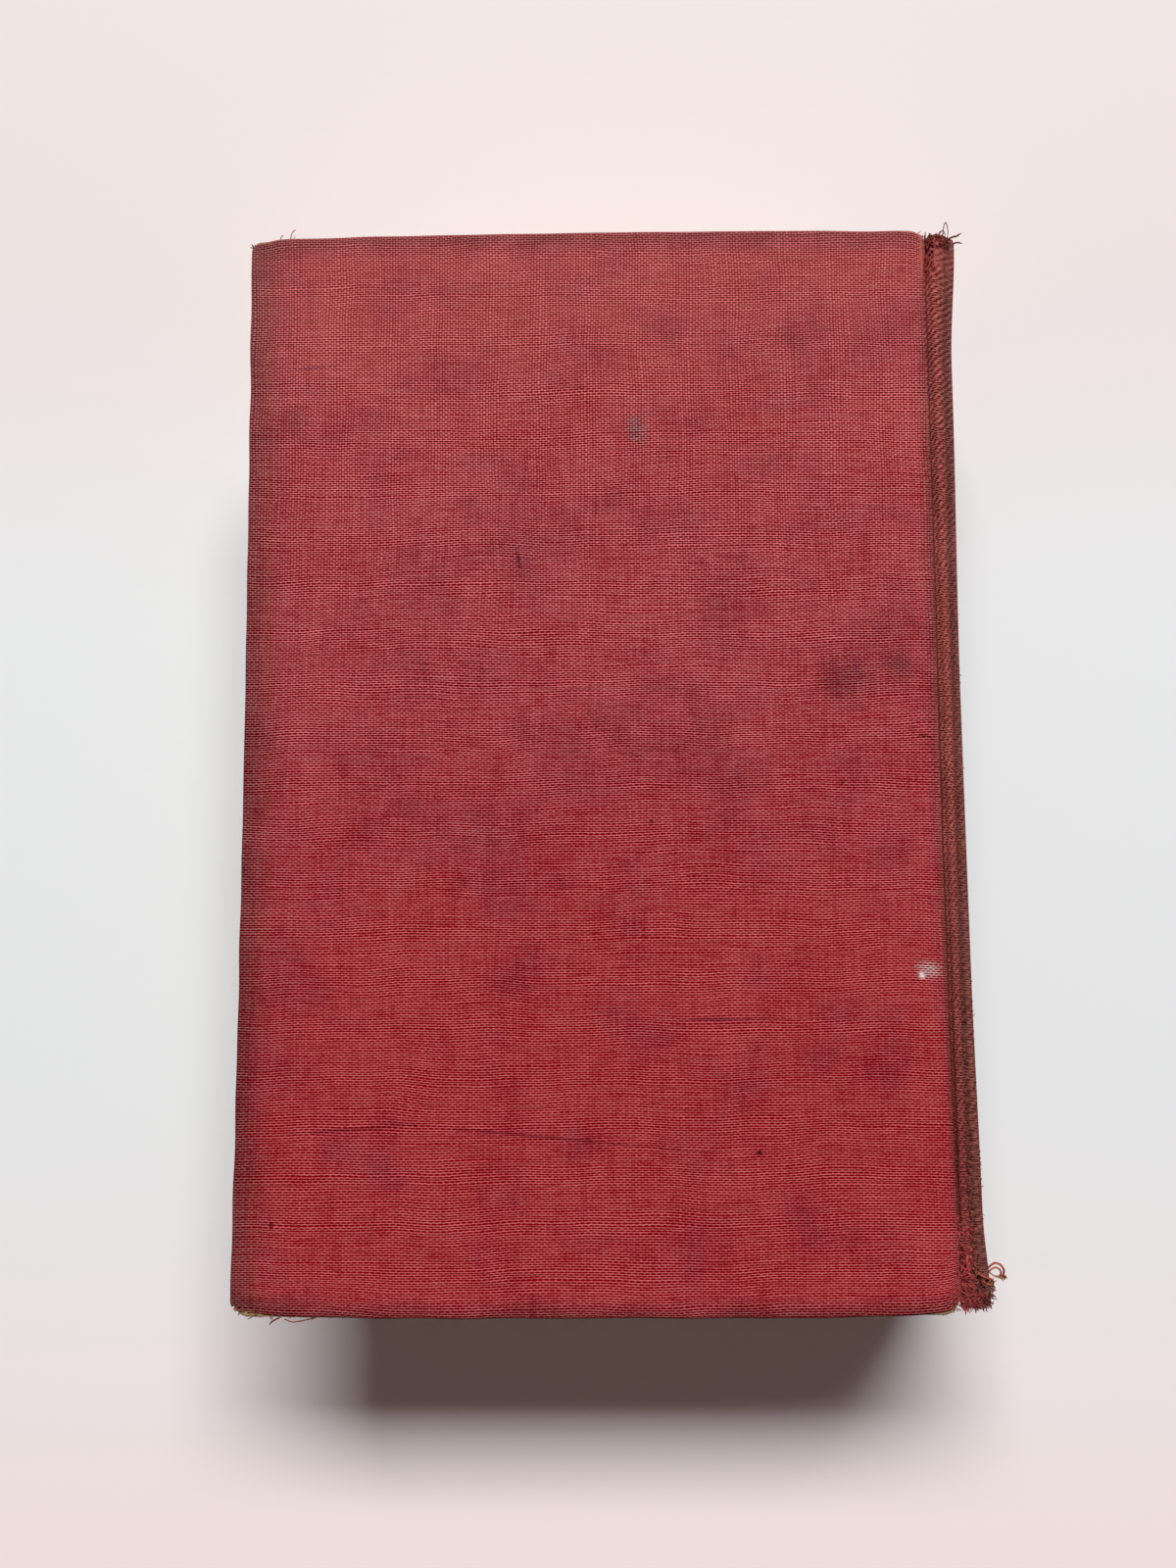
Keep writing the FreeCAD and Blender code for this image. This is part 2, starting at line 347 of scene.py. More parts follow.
clothLook = {
    "rowPitch": 0.419,            # mm from one weft thread to the next
    "columnPitch": 0.513,         # and of the warp
    "average": (155, 64, 67),
    "wander": (2.0, 3.0),         # mm that the warp and the weft drift sideways
    "unevenness": 0.35,           # mm that each thread strays
    # The dark and light thread colours hold painted shade in the gaps and a painted highlight on the thread
    # tops, as well as the threads' own tone
    "threadDarkAndGapShade": (98, 0, 12),
    "threadMid": (172, 2, 24),
    "threadLightAndHighlight": (240, 142, 143),
    "baseTone": 0.275,
    "rowContrast": 0.66,
    "staggerContrast": 0.62,
    "columnContrast": 0.28,
    "columnsShow": (110.0, 5.0, 0.15, 1.0),    # the warp shows most near the head
    "noise": {"weft": 0.60, "warp": 0.42, "fibre": 0.85, "broad": 0.18, "patch": 0.10},
    # Painted sheen: a pale haze of reflected light towards the head
    "headSheenColour": (206, 118, 114),
    "headSheenNear": (46.0, 0.0, 0.0, 0.11),        # over 46 mm, from no share to 0.11
    "headSheenWide": (130.0, 10.0, 0.0, 0.03),
    "deepTail": (150, 4, 20),
    "tailDepth": (45.0, -60.0, 0.0, 0.33),
    "dirtBrown": (84, 54, 52),
    "dirtGrey": (98, 56, 58),
    "dullRed": (114, 45, 53),
    "dullMiddle": (60.0, 0.0, 0.0, 0.12),
    "dullBlotches": (0.46, 0.72, 0.0, 0.42),
    "foreDirt": (6.5, 0.60),                   # how far in from the edge, and how strong
    "foreDust": (14.0, 0.20),
    "headDirt": (5.0, 0.30),
    "headGrey": (5.0, 0.22),
    "tailDirt": (4.0, 0.60),
    "foreTail": (40.0, -60.0, 0.7, 1.0),
    "jointDirt": 0.36,
    "grime": (5.0, 1.6, -3.3),                 # how ragged: by patches and fibres, and the shift
    "besideJoint": (-2.4, -0.2),
    "driedPaint": (232, 222, 220),
    "wornTan": (190, 126, 84),
    "wornSalmon": (200, 112, 96),
    "tanToSalmon": (-3.0, -1.2),
    "rubbed": (0.95, 1.5, 0.0, 0.85),
    "rubbedByFibre": 1.3,
    "roughness": 0.9,
    "specular": 0.02,
    "sheen": 0.005,
    "bump": 0.06,
}

# The cloth in the joint and over the spine: salmon ribs on dark red, browner on the spine
jointLook = {
    "grooveDark": (56, 16, 17),
    "grooveLight": (162, 86, 80),
    "ridgeDark": (84, 24, 27),
    "ridgeLight": (210, 118, 106),
    "spineDark": (80, 38, 36),
    "spineLight": (166, 106, 95),
    "creaseDark": (54, 24, 23),
    "tornHead": (184, 92, 90),
    "deepRidge": (78, 14, 20),    # the ridge darkens towards the tail
    "slantPitch": 1.22,           # mm between the slanting ribs near the head
    "slant": 0.8,
    "groovePlace": 1.5,           # along the cloth from the board's edge
    "spinePlace": 4.6,
    "creasePlace": 5.45,
    "slantStrength": (80.0, 10.0, 0.04, 0.30),
    "ribs": (0.22, 0.24),         # shares of the rows and of the stagger
    "ribFibre": 2.4,
    "ribTone": 0.35,
    "ribPatch": 0.5,
    "deepening": (0.0, -75.0, 0.0, 0.42),
    "torn": (12.0, 3.0, 0.0, 0.62),
}

# Marks on the back cover: place, half sizes, colour, strength and turn in degrees
clothMarks = [
    (-52.9, 59.2, 1.9, 2.5, (104, 84, 84), 0.50, 10),
    (-16.5, 12.6, 4.6, 4, (98, 52, 56), 0.50, 0),
    (-6.2, 15.2, 2.6, 3, (96, 44, 46), 0.50, 20),
    (-57.5, 46.2, 5.5, 2.2, (112, 40, 50), 0.34, 8),
    (-73.6, 35.8, 4.6, 5.5, (118, 44, 56), 0.26, 0),
    (-62.3, -5.5, 7, 3.6, (118, 46, 56), 0.28, 0),
    (-47.3, 12, 4, 2.2, (108, 50, 56), 0.28, 0),
    (-26, 64.4, 4.2, 2, (118, 60, 66), 0.22, 0),
    (-81.6, 54.1, 4.4, 1.6, (114, 58, 64), 0.24, 0),
    (-80, -12.6, 5, 3, (178, 98, 104), 0.14, 15),
    (-26.6, -80.2, 2.6, 4.2, (112, 34, 44), 0.36, 10),
    (-44, 43, 4, 3, (122, 50, 60), 0.26, 0),
    (-33.3, -69.6, 0.60, 0.42, (40, 14, 18), 0.95, 30),
    (-117.5, -81.3, 0.40, 0.60, (48, 16, 20), 0.90, 0),
    (-74.6, 35.4, 0.34, 1.7, (66, 26, 34), 0.75, 12),
    (-51.1, -12.2, 0.38, 0.38, (50, 20, 26), 0.80, 0),
    (-17.2, -5.5, 0.38, 0.38, (50, 20, 26), 0.75, 0),
    # A small crease, drawn as a thin dark line of painted shade
    (-2.3, 2.7, 1.3, 0.30, (70, 22, 28), 0.80, -12),
    (-72, -66.6, 24, 0.30, (94, 22, 34), 0.60, -5.5),
    (-38.8, -46.9, 7, 0.28, (94, 26, 36), 0.60, 0),
    (-104, -65.4, 9, 0.30, (94, 26, 36), 0.55, 4),
    (-112.5, 72, 3.4, 0.40, (96, 40, 50), 0.55, 4),
    (-116, 62, 1.6, 2.6, (84, 48, 48), 0.40, 0),
]


# Dried paint near the joint: a patch on the thread tops, and a blob
paintPatch = (-2.7, -38.5, 2.0, 1.3, None, 1.0, -12)
paintBlob = (-4.1, -39.5, 0.55, 0.6, None, 1.0, 0)


def markShare(across, along, grain, mark):
    x, y, halfX, halfY, colour, strength, turn = mark
    c, s = math.cos(math.radians(turn)), math.sin(math.radians(turn))
    dx, dy = across - x, along - y
    u = dx * (c / halfX) + dy * (s / halfX)
    v = dy * (c / halfY) - dx * (s / halfY)
    reach = calc("SQRT", u * u + v * v)
    return remap(grain * 2.4 + reach - 1.2, 0.15, 1.6, strength, 0.0)


def stain(share, colour, target):
    # Darkens the threads towards a colour, and keeps the contrast of the weave
    tint = [a / b for a, b in zip(paint(*target), paint(*clothLook["average"]))]
    return mixColour(share, colour, (*tint[:3], 1.0), "MULTIPLY")


def jointPattern(local, along, fromHead, slantWay, threads, fibre, patch):
    # The colours of the joint and the spine: a groove, a ridge, a crease and the spine
    look = jointLook
    slantWave = wave(slantWay / look["slantPitch"]) * remap(fromHead, *look["slantStrength"])
    ribs = threads + slantWave + (fibre - 0.5) * look["ribFibre"] + look["ribTone"]
    ribs = ribs + (patch - 0.5) * look["ribPatch"]
    ridge, groove, spine = [mixColour(ribs, look[name + "Dark"], look[name + "Light"])
                            for name in ("ridge", "groove", "spine")]
    wander = patch * 1.2 + local - 0.6
    colour = mixColour(remap(distance(wander, look["groovePlace"]), 0.4, 1.2, 1.0, 0.0), ridge, groove)
    colour = mixColour(remap(along, *look["deepening"]), colour, look["deepRidge"])
    colour = mixColour(remap(wander, look["spinePlace"] - 0.6, look["spinePlace"] + 0.5), colour, spine)
    inCrease = remap(distance(local, look["creasePlace"]), 0.15, 0.7, 0.3, 0.0)
    colour = mixColour(inCrease, colour, look["creaseDark"])
    torn = remap(ribs * -5.0 + fromHead, *look["torn"]) * remap(local, 5.6, 2.4, 0.25, 1.0)
    return mixColour(torn, colour, look["tornHead"])


def clothMaterial():
    look = clothLook
    material, tree, shader = startMaterial("bookCloth", look["roughness"], look["specular"])
    shader.inputs["Sheen Weight"].default_value = look["sheen"]
    place = keptPlace(tree, "clothPlace")
    across, along, wear = parts(place)

    # Distances from the edges of the cover, and from the board's edge at the joint
    local = look["middle"] - distance(across, look["middle"])
    fromFore = local + coverWidth
    fromHead = halfHeight - along
    fromTail = halfHeight + along
    pastBoard = remap(local, -0.3, 0.5)

    # Threads wander a little, and no two are as thick
    drift = speckle(place, 0.03)
    sideDrift = speckle(moved(place, 31.7), 0.04)
    stray = speckle(join(across * 0.03, along), 0.8, 1.0) * look["unevenness"]
    sideStray = speckle(join(across, along * 0.03), 0.7, 1.0) * look["unevenness"]
    u = (sideDrift * look["wander"][0] + sideStray + across) / look["columnPitch"]
    v = (drift * look["wander"][1] + stray + along) / look["rowPitch"]

    # Rows of weft, with dark gaps between them that are staggered from row to row; the gaps' darkness is
    # partly painted shade
    rowWave = wave(v)
    stagger = calc("COSINE", (u + v * pastBoard * 0.5) * math.pi) * calc("SINE", v * math.pi)
    columnShare = remap(fromHead, *look["columnsShow"]) * look["columnContrast"]

    # Each thread has its own tone, in streaks along it
    noise = {
        "weft": speckle(join(across * 0.20, calc("ROUND", v) * 3.7), 1.0),
        "warp": speckle(join(calc("ROUND", u) * 4.3, along * 0.12), 1.0),
        "fibre": speckle(join(across, along * 1.8), 1.7, 2.0, 0.6),
        "broad": speckle(moved(place, 7.1), 0.022, 3.0, 0.6),
        "patch": speckle(moved(place, 55.0), 0.075, 3.0, 0.6),
    }
    fibre, patch = noise["fibre"], noise["patch"]
    weave = rowWave * look["rowContrast"] + stagger * look["staggerContrast"] + wave(u) * columnShare
    tone = weave * (patch * 0.4 + 0.82) + look["baseTone"]
    for name, amount in look["noise"].items():
        tone = (noise[name] - 0.5) * amount + tone

    # The thread tops are lighter partly as a painted highlight, and the gaps darker partly as painted shade;
    # the rest is each thread's own tone
    colour = mixColour(remap(tone, 0.0, 0.5, straight=True), look["threadDarkAndGapShade"], look["threadMid"])
    colour = mixColour(remap(tone, 0.5, 1.0, straight=True), colour, look["threadLightAndHighlight"])
    # Painted sheen: the head is paler, as a haze of reflected light would make it, and the cloth is a deeper
    # red towards the tail
    paintedSheen = remap(fromHead, *look["headSheenNear"]) + remap(fromHead, *look["headSheenWide"])
    colour = mixColour(paintedSheen, colour, look["headSheenColour"])
    colour = mixColour(remap(along, *look["tailDepth"]), colour, look["deepTail"])

    # Duller patches, most of them half way down
    blotch = speckle(moved(place, 140.0), 0.055, 4.0, 0.65)
    dull = remap(distance(along, 5.0), *look["dullMiddle"]) + remap(blotch, *look["dullBlotches"])
    colour = stain(dull, colour, look["dullRed"])

    # Dirt along the edges, ragged as the patches and fibres are
    byPatch, byFibre, shift = look["grime"]
    grime = patch * byPatch + fibre * byFibre + shift

    def border(fromEdge, width, most):
        return remap(fromEdge + grime, 0.0, width, most, 0.0)

    foreDirt = border(fromFore, *look["foreDirt"]) * remap(along, *look["foreTail"])
    colour = stain(foreDirt, colour, look["dirtBrown"])
    colour = stain(border(fromFore, *look["foreDust"]), colour, look["dirtBrown"])
    colour = stain(border(fromHead, *look["headDirt"]), colour, look["dirtBrown"])
    colour = mixColour(border(fromHead, *look["headGrey"]), colour, look["dirtGrey"])
    colour = stain(border(fromTail, *look["tailDirt"]), colour, look["dirtBrown"])
    besideJoint = remap(local, *look["besideJoint"], 0.0, look["jointDirt"]) - pastBoard * look["jointDirt"]
    besideJoint = besideJoint * remap(along, -70.0, 0.0, 0.4, 1.0) * remap(fromHead, 8.0, 16.0)
    colour = stain(besideJoint, colour, look["dirtGrey"])

    slantWay = across * -jointLook["slant"] + sideDrift * 3.0 + along
    rowShare, staggerShare = jointLook["ribs"]
    threads = rowWave * rowShare + stagger * staggerShare
    jointColour = jointPattern(local, along, fromHead, slantWay, threads, fibre, patch)
    colour = mixColour(pastBoard * 0.94, colour, jointColour)

    # A large mark is ragged in blots, and a small one in fibres
    blots = speckle(moved(place, 91.0), 0.33, 4.0, 0.7)
    for mark in clothMarks:
        grain = blots if mark[2] > 1.5 else fibre
        share = markShare(across, along, grain, mark) * (fibre * 2.0)
        colour = stain(calc("MINIMUM", share, 1.0), colour, mark[4])
    patchShare = markShare(across, along, fibre, paintPatch) * remap(tone, 0.50, 0.75)
    paintShare = calc("MAXIMUM", patchShare, markShare(across, along, fibre, paintBlob))
    colour = mixColour(paintShare, colour, look["driedPaint"])

    # Rubbed rims: the wear value in the mesh is 1 on a rim that has lost its colour
    rubbed = remap(fibre * look["rubbedByFibre"] + wear, *look["rubbed"])
    wornColour = mixColour(remap(local, *look["tanToSalmon"]), look["wornTan"], look["wornSalmon"])
    colour = mixColour(rubbed, colour, wornColour)

    height = stagger * 0.5 + rowWave * 0.5 + fibre * 0.9 + noise["weft"] * 0.5
    finishSurface(shader, colour, height, look["bump"] * mm)
    return material


# Paper, board, gauze and thread

gauzeLook = {"pitch": 0.9, "dark": (150, 126, 96), "light": (226, 214, 192)}
pageEdgeLook = {"dark": (150, 122, 86), "light": (226, 208, 172)}


def fibreMaterial(name, dark, light, size, bumpMm, roughness=0.9, stretch=(1.0, 1.0, 1.0)):
    material, tree, shader = startMaterial(name, roughness)
    place = objectPlace(tree)
    fine = speckle(vectorCalc(place, "MULTIPLY", stretch), 1 / size, 4.0, 0.65)
    broad = speckle(place, 0.05, 3.0, 0.6)
    colour = mixColour(remap(broad * 0.5 + fine * 0.5, 0.3, 0.7), dark, light)
    finishSurface(shader, colour, fine, bumpMm * mm)
    return material


def gauzeMaterial():
    look = gauzeLook
    material, tree, shader = startMaterial("gauze", 0.9)
    place = objectPlace(tree)
    x, y, z = parts(place)
    turns = 2 * math.pi / look["pitch"]
    thread = calc("MAXIMUM", calc("SINE", y * turns), calc("SINE", (x + z) * turns))
    share = remap(speckle(place, 2.5, 3.0) * 0.6 + thread, 0.2, 1.1)
    finishSurface(shader, mixColour(share, look["dark"], look["light"]), thread, 0.15 * mm)
    return material


def pageEdgeMaterial():
    material, tree, shader = startMaterial("pageEdges", 0.88)
    leaf, along, inward = parts(keptPlace(tree, "leafPlace"))
    lines = speckle(join(leaf * 9.0, along * 0.05, inward * 0.05), 1.0, 2.0, 0.7)
    groups = speckle(join(leaf * 0.9, along * 0.01), 1.0)
    ageing = speckle(join(leaf * 0.2, along * 0.05, inward * 0.05), 1.0, 4.0, 0.6)
    share = remap(lines * 0.55 + groups * 0.3 + ageing * 0.35, 0.35, 0.85)
    finishSurface(shader, mixColour(share, pageEdgeLook["dark"], pageEdgeLook["light"]), lines, 0.1 * mm)
    return material


def looseThreadMaterial(name, dark, light):
    material, tree, shader = startMaterial(name, 0.85)
    fine = speckle(objectPlace(tree), 3.0, 3.0)
    finishSurface(shader, mixColour(remap(fine, 0.35, 0.65), dark, light), fine, 0.05 * mm, 0.6)
    return material


# The cloth of the case, in two halves that meet along the middle of the spine

caseSizes = {
    "rim": 0.6,              # radius of the cloth's turn over the board's edge
    "cornerRadius": 1.9,
    "corner": 14,            # fine rows reach this far from the edges
    "boardDepth": 3.2,       # from the outer face to the cloth's turned-in border
    "turnIn": 15.0,
    "jointDepth": 0.8,
    "spineRim": 0.5,
    "spineDepth": 1.56,
    "spineTurnIn": 12.0,
    "clothThickness": 0.3,
    "columnStep": 2.2,
    "rimStep": 0.5,
    "rowStep": 2.0,
    "endStep": 0.35,
    "jointSteps": [(-5, 0.6), (-0.6, 0.3), (0, 0.22), (7, 0.8)],     # from here on, this step
    "spineFlare": {           # towards each end: mm, and from where to where, slowly and then quickly
        1: ((0.6, 10, 70), (1.3, 72, 96)),
        -1: ((0.3, 40, 80), (0.8, 80, 94)),
    },
    "ridgeShift": 0.35,      # how far the joint's ridge lies nearer the board
    "tailShift": 0.85,       # and how much more at the tail
    "edgeBow": 0.3,          # how far the board's edge bows in
    "ragged": 0.22,
    "wobble": 0.07,
    "foreWobble": 0.05,
    "puff": 0.05,
    "ridgeRim": 0.35,
    "lean": 0.35,
    "bend": (0.2, 2.9),      # two places across the joint, from the board's edge
}

# The cloth's section beside the spine: x and depth
jointSection = [
    (0.0, 0.0), (0.45, 0.05), (0.8, 0.8), (1.1, 1.55), (1.5, 1.65), (2.2, 0.95), (2.9, 0.72),
    (3.5, 0.95), (4.05, 1.6), (4.32, 1.25), (4.68, 1.1), (4.91, 1.75),
]

# How far the cloth's ends have worn back, from the fore edge and past the board: distance and inset
endWear = {
    ("back", 1, "fore"): [(0, 0.5), (1, 0.5), (3, 0.42), (5.5, 0.0)],
    ("back", -1, "fore"): [(0, 1.3), (2, 1.2), (4.5, 0.9), (6, 0.7), (8, 0.55), (12, 0.4), (19, 0.25),
        (30, 0.0)],
    ("back", 1, "joint"): [(-30, 0), (-10, 0.1), (-3, 0.12), (-1.6, 0.2), (-0.7, 0.35), (-0.2, 0.55),
        (0, 0.9), (0.4, 1.4), (1.3, 1.0), (2.7, 0.3), (3.8, -0.15), (4.8, 0.0), (5.6, 0.3), (6.8, 0.9),
        (8, 1.1), (11, 0.6), (16, 0.2)],
    ("back", -1, "joint"): [(-24, 0), (-12, 0.25), (-7, 0.55), (-4, 0.8), (-2.2, 0.95), (-1.2, 1.2),
        (-0.5, 1.7), (0, 2.3), (0.5, 1.9), (1.2, 1.3), (3, 0.9), (5, 1.2), (7, 1.5), (9, 1.2),
        (13, 0.7), (20, 0.3)],
    ("front", 1, "fore"): [(0, 1.0), (2, 0.7), (5, 0.3), (9, 0.0)],
    ("front", -1, "fore"): [(0, 0.9), (2, 0.7), (5, 0.3), (9, 0.0)],
    ("front", 1, "joint"): [(-10, 0), (-1, 0.7), (0.5, 1.4), (3, 0.7), (5, 0.5), (8, 0.8), (16, 0.2)],
    ("front", -1, "joint"): [(-10, 0), (-1, 0.8), (0.5, 1.5), (3, 0.8), (5, 0.6), (8, 0.9), (16, 0.3)],
}

# Places where the cloth has worn through: side, place on the flat cloth, half sizes, raggedness
wornHoles = [
    ("back", -124.9, 98.2, 1.9, 1.7, 0.35),
    ("back", -120.5, 98.0, 3.6, 0.9, 0.4),
    ("back", -124.0, -98.0, 2.2, 1.7, 0.4),
    ("back", -120.0, -97.9, 4.6, 0.95, 0.4),
    ("back", -125.6, -89.4, 0.7, 1.6, 0.4),
    ("back", 2.6, 94.0, 0.9, 2.0, 0.35),
    ("back", 2.2, 96.0, 1.3, 1.2, 0.4),
    ("back", 5.6, -92.4, 0.8, 0.9, 0.4),
    ("back", 4.2, -89.8, 0.6, 0.9, 0.4),
    ("back", 2.0, -91.5, 0.5, 1.1, 0.4),
    ("front", -124.9, 97.6, 1.8, 1.8, 0.35),
    ("front", -124.9, -97.6, 2.2, 1.6, 0.35),
]


def sectionPath():
    # Rounds the joint's section, and adds the arc to the middle of the spine
    points = [np.array(p) for p in jointSection]
    for _ in range(2):
        cut = [points[0]]
        for a, b in zip(points, points[1:]):
            cut += [0.75 * a + 0.25 * b, 0.25 * a + 0.75 * b]
        points = cut + [points[-1]]
    centreX = spineReach - spineRadius
    start = math.asin(spineHalf / spineRadius)
    for t in np.linspace(start, 0, 30)[1:]:
        points.append(np.array([centreX + spineRadius * math.cos(t), middleZ - spineRadius * math.sin(t)]))
    return np.array(points)


def alongPath(path, places):
    steps = np.hypot(*np.diff(path, axis=0).T)
    run = np.concatenate([[0], np.cumsum(steps)])
    return np.interp(places, run, path[:, 0]), np.interp(places, run, path[:, 1])


def graded(stops):
    # Places from one stop to the next, at each stretch's own step
    places = [stops[0][0]]
    for (start, step), (end, _) in zip(stops, stops[1:]):
        count = max(1, round((end - start) / step))
        places += [start + (end - start) * (k + 1) / count for k in range(count)]
    return np.array(places)


def endInset(side, place, row):
    # How far the cloth's ends have worn back and frayed
    sizes = caseSizes
    inset = np.zeros_like(place)
    for end in (1, -1):
        fromFore, foreInset = np.array(endWear[(side, end, "fore")]).T
        fromJoint, jointInset = np.array(endWear[(side, end, "joint")]).T
        worn = np.interp(place + coverWidth, fromFore, foreInset)
        worn = worn + np.interp(place, fromJoint, jointInset, left=0.0)
        ragged = sizes["ragged"] * waves(place, place * 0 + 9 * end, 1.5, 5) * smooth(place, -2.0, 0.5)
        reach = smooth(np.abs(row) / halfHeight, 0.88, 1.0)
        inset = np.where(row * end > 0, (worn + ragged) * reach, inset)
    return inset


def sideways(place, row):
    # How far the spine flares, the joint's ridge shifts and the board's edge bows
    sizes = caseSizes
    flare = np.zeros_like(place)
    for end, stretches in sizes["spineFlare"].items():
        slow, quick = [most * smooth(row * end, low, high) for most, low, high in stretches]
        flare = flare + slow + quick
    flare = flare * smooth(place, 3.2, 6.4)
    nearer = sizes["ridgeShift"] + sizes["tailShift"] * smooth(-row, -25, 80)
    flare = flare - nearer * smooth(place, 1.2, 4.0) * (1 - smooth(place, 5.4, 6.8))
    bow = sizes["edgeBow"] * np.clip(1 - ((row + 30) / 60) ** 2, 0, 1)
    return flare - bow * smooth(place, -6, -0.5) * (1 - smooth(place, 1.0, 3.0))


def turnSteps(rim, depth, turnIn):
    # From the outer face round the rim, down the edge, and in over the inner face
    angles = [k * math.pi / 8 for k in range(1, 5)]
    steps = [(rim * math.sin(angle), rim * (1 - math.cos(angle))) for angle in angles]
    steps += [(rim, rim + (depth - 2 * rim) * k / 4) for k in range(1, 5)]
    steps += [(rim * math.cos(angle), depth - rim * (1 - math.sin(angle))) for angle in angles]
    return steps + [(-(turnIn - rim) * share, depth) for share in (0.12, 0.4, 1.0)]


def rubbedShare(x, y, fore, ends):
    # Rims, corners and the joint's ends lose their colour
    pastEnd, pastFore = np.abs(y) - ends, fore - x
    onEnd = smooth(pastEnd, -0.5, 0.2) * (1 - smooth(pastEnd, 1.6, 2.6))
    onFore = smooth(pastFore, -0.5, 0.2) * (1 - smooth(pastFore, 1.6, 2.6))
    beforeEdge = 1 - smooth(x, 0.1, 0.5)
    corner = smooth(-x, coverWidth - 12, coverWidth - 2) * smooth(np.abs(y), halfHeight - 9, halfHeight - 1)
    jointCorner = smooth(x, -6, -0.8) * beforeEdge * smooth(np.abs(y), halfHeight - 8, halfHeight - 2)
    endShare = onEnd * (0.08 + 0.5 * corner + 0.45 * jointCorner)
    rubbed = np.maximum(endShare, onFore * (0.08 + 0.25 * corner))
    onEdge = 1 - smooth(x, 0.1, 0.35)
    edgeLine = smooth(x, -0.4, 0.0) * onEdge
    rubbed = rubbed + edgeLine * (0.08 + 0.36 * smooth(-y, 50, 92) + 0.50 * smooth(y, 86, 93))
    return rubbed + 0.45 * smooth(x, -1.0, -0.3) * onEdge * smooth(y, 82, 91)


def unworn(side, x, y):
    # Which places on the flat cloth lie outside the worn holes
    keep = np.ones(len(x), bool)
    for holeSide, hx, hy, halfX, halfY, ragged in wornHoles:
        if holeSide == side:
            reach = np.hypot((x - hx) / halfX, (y - hy) / halfY)
            keep &= reach + ragged * waves(x, y, 1.3, int(abs(hx * 7 + hy))) > 1
    return keep


def thicken(piece, thickness):
    weld = piece.modifiers.new("weld", "WELD")
    weld.merge_threshold = 0.02 * mm
    thick = piece.modifiers.new("thickness", "SOLIDIFY")
    thick.thickness = thickness * mm
    thick.offset = -1.0
    thick.use_quality_normals = True
    finished = bpy.data.meshes.new_from_object(piece.evaluated_get(bpy.context.evaluated_depsgraph_get()))
    piece.modifiers.clear()
    piece.data = finished
    finished.name = piece.name
    smoothShade(finished, 50)


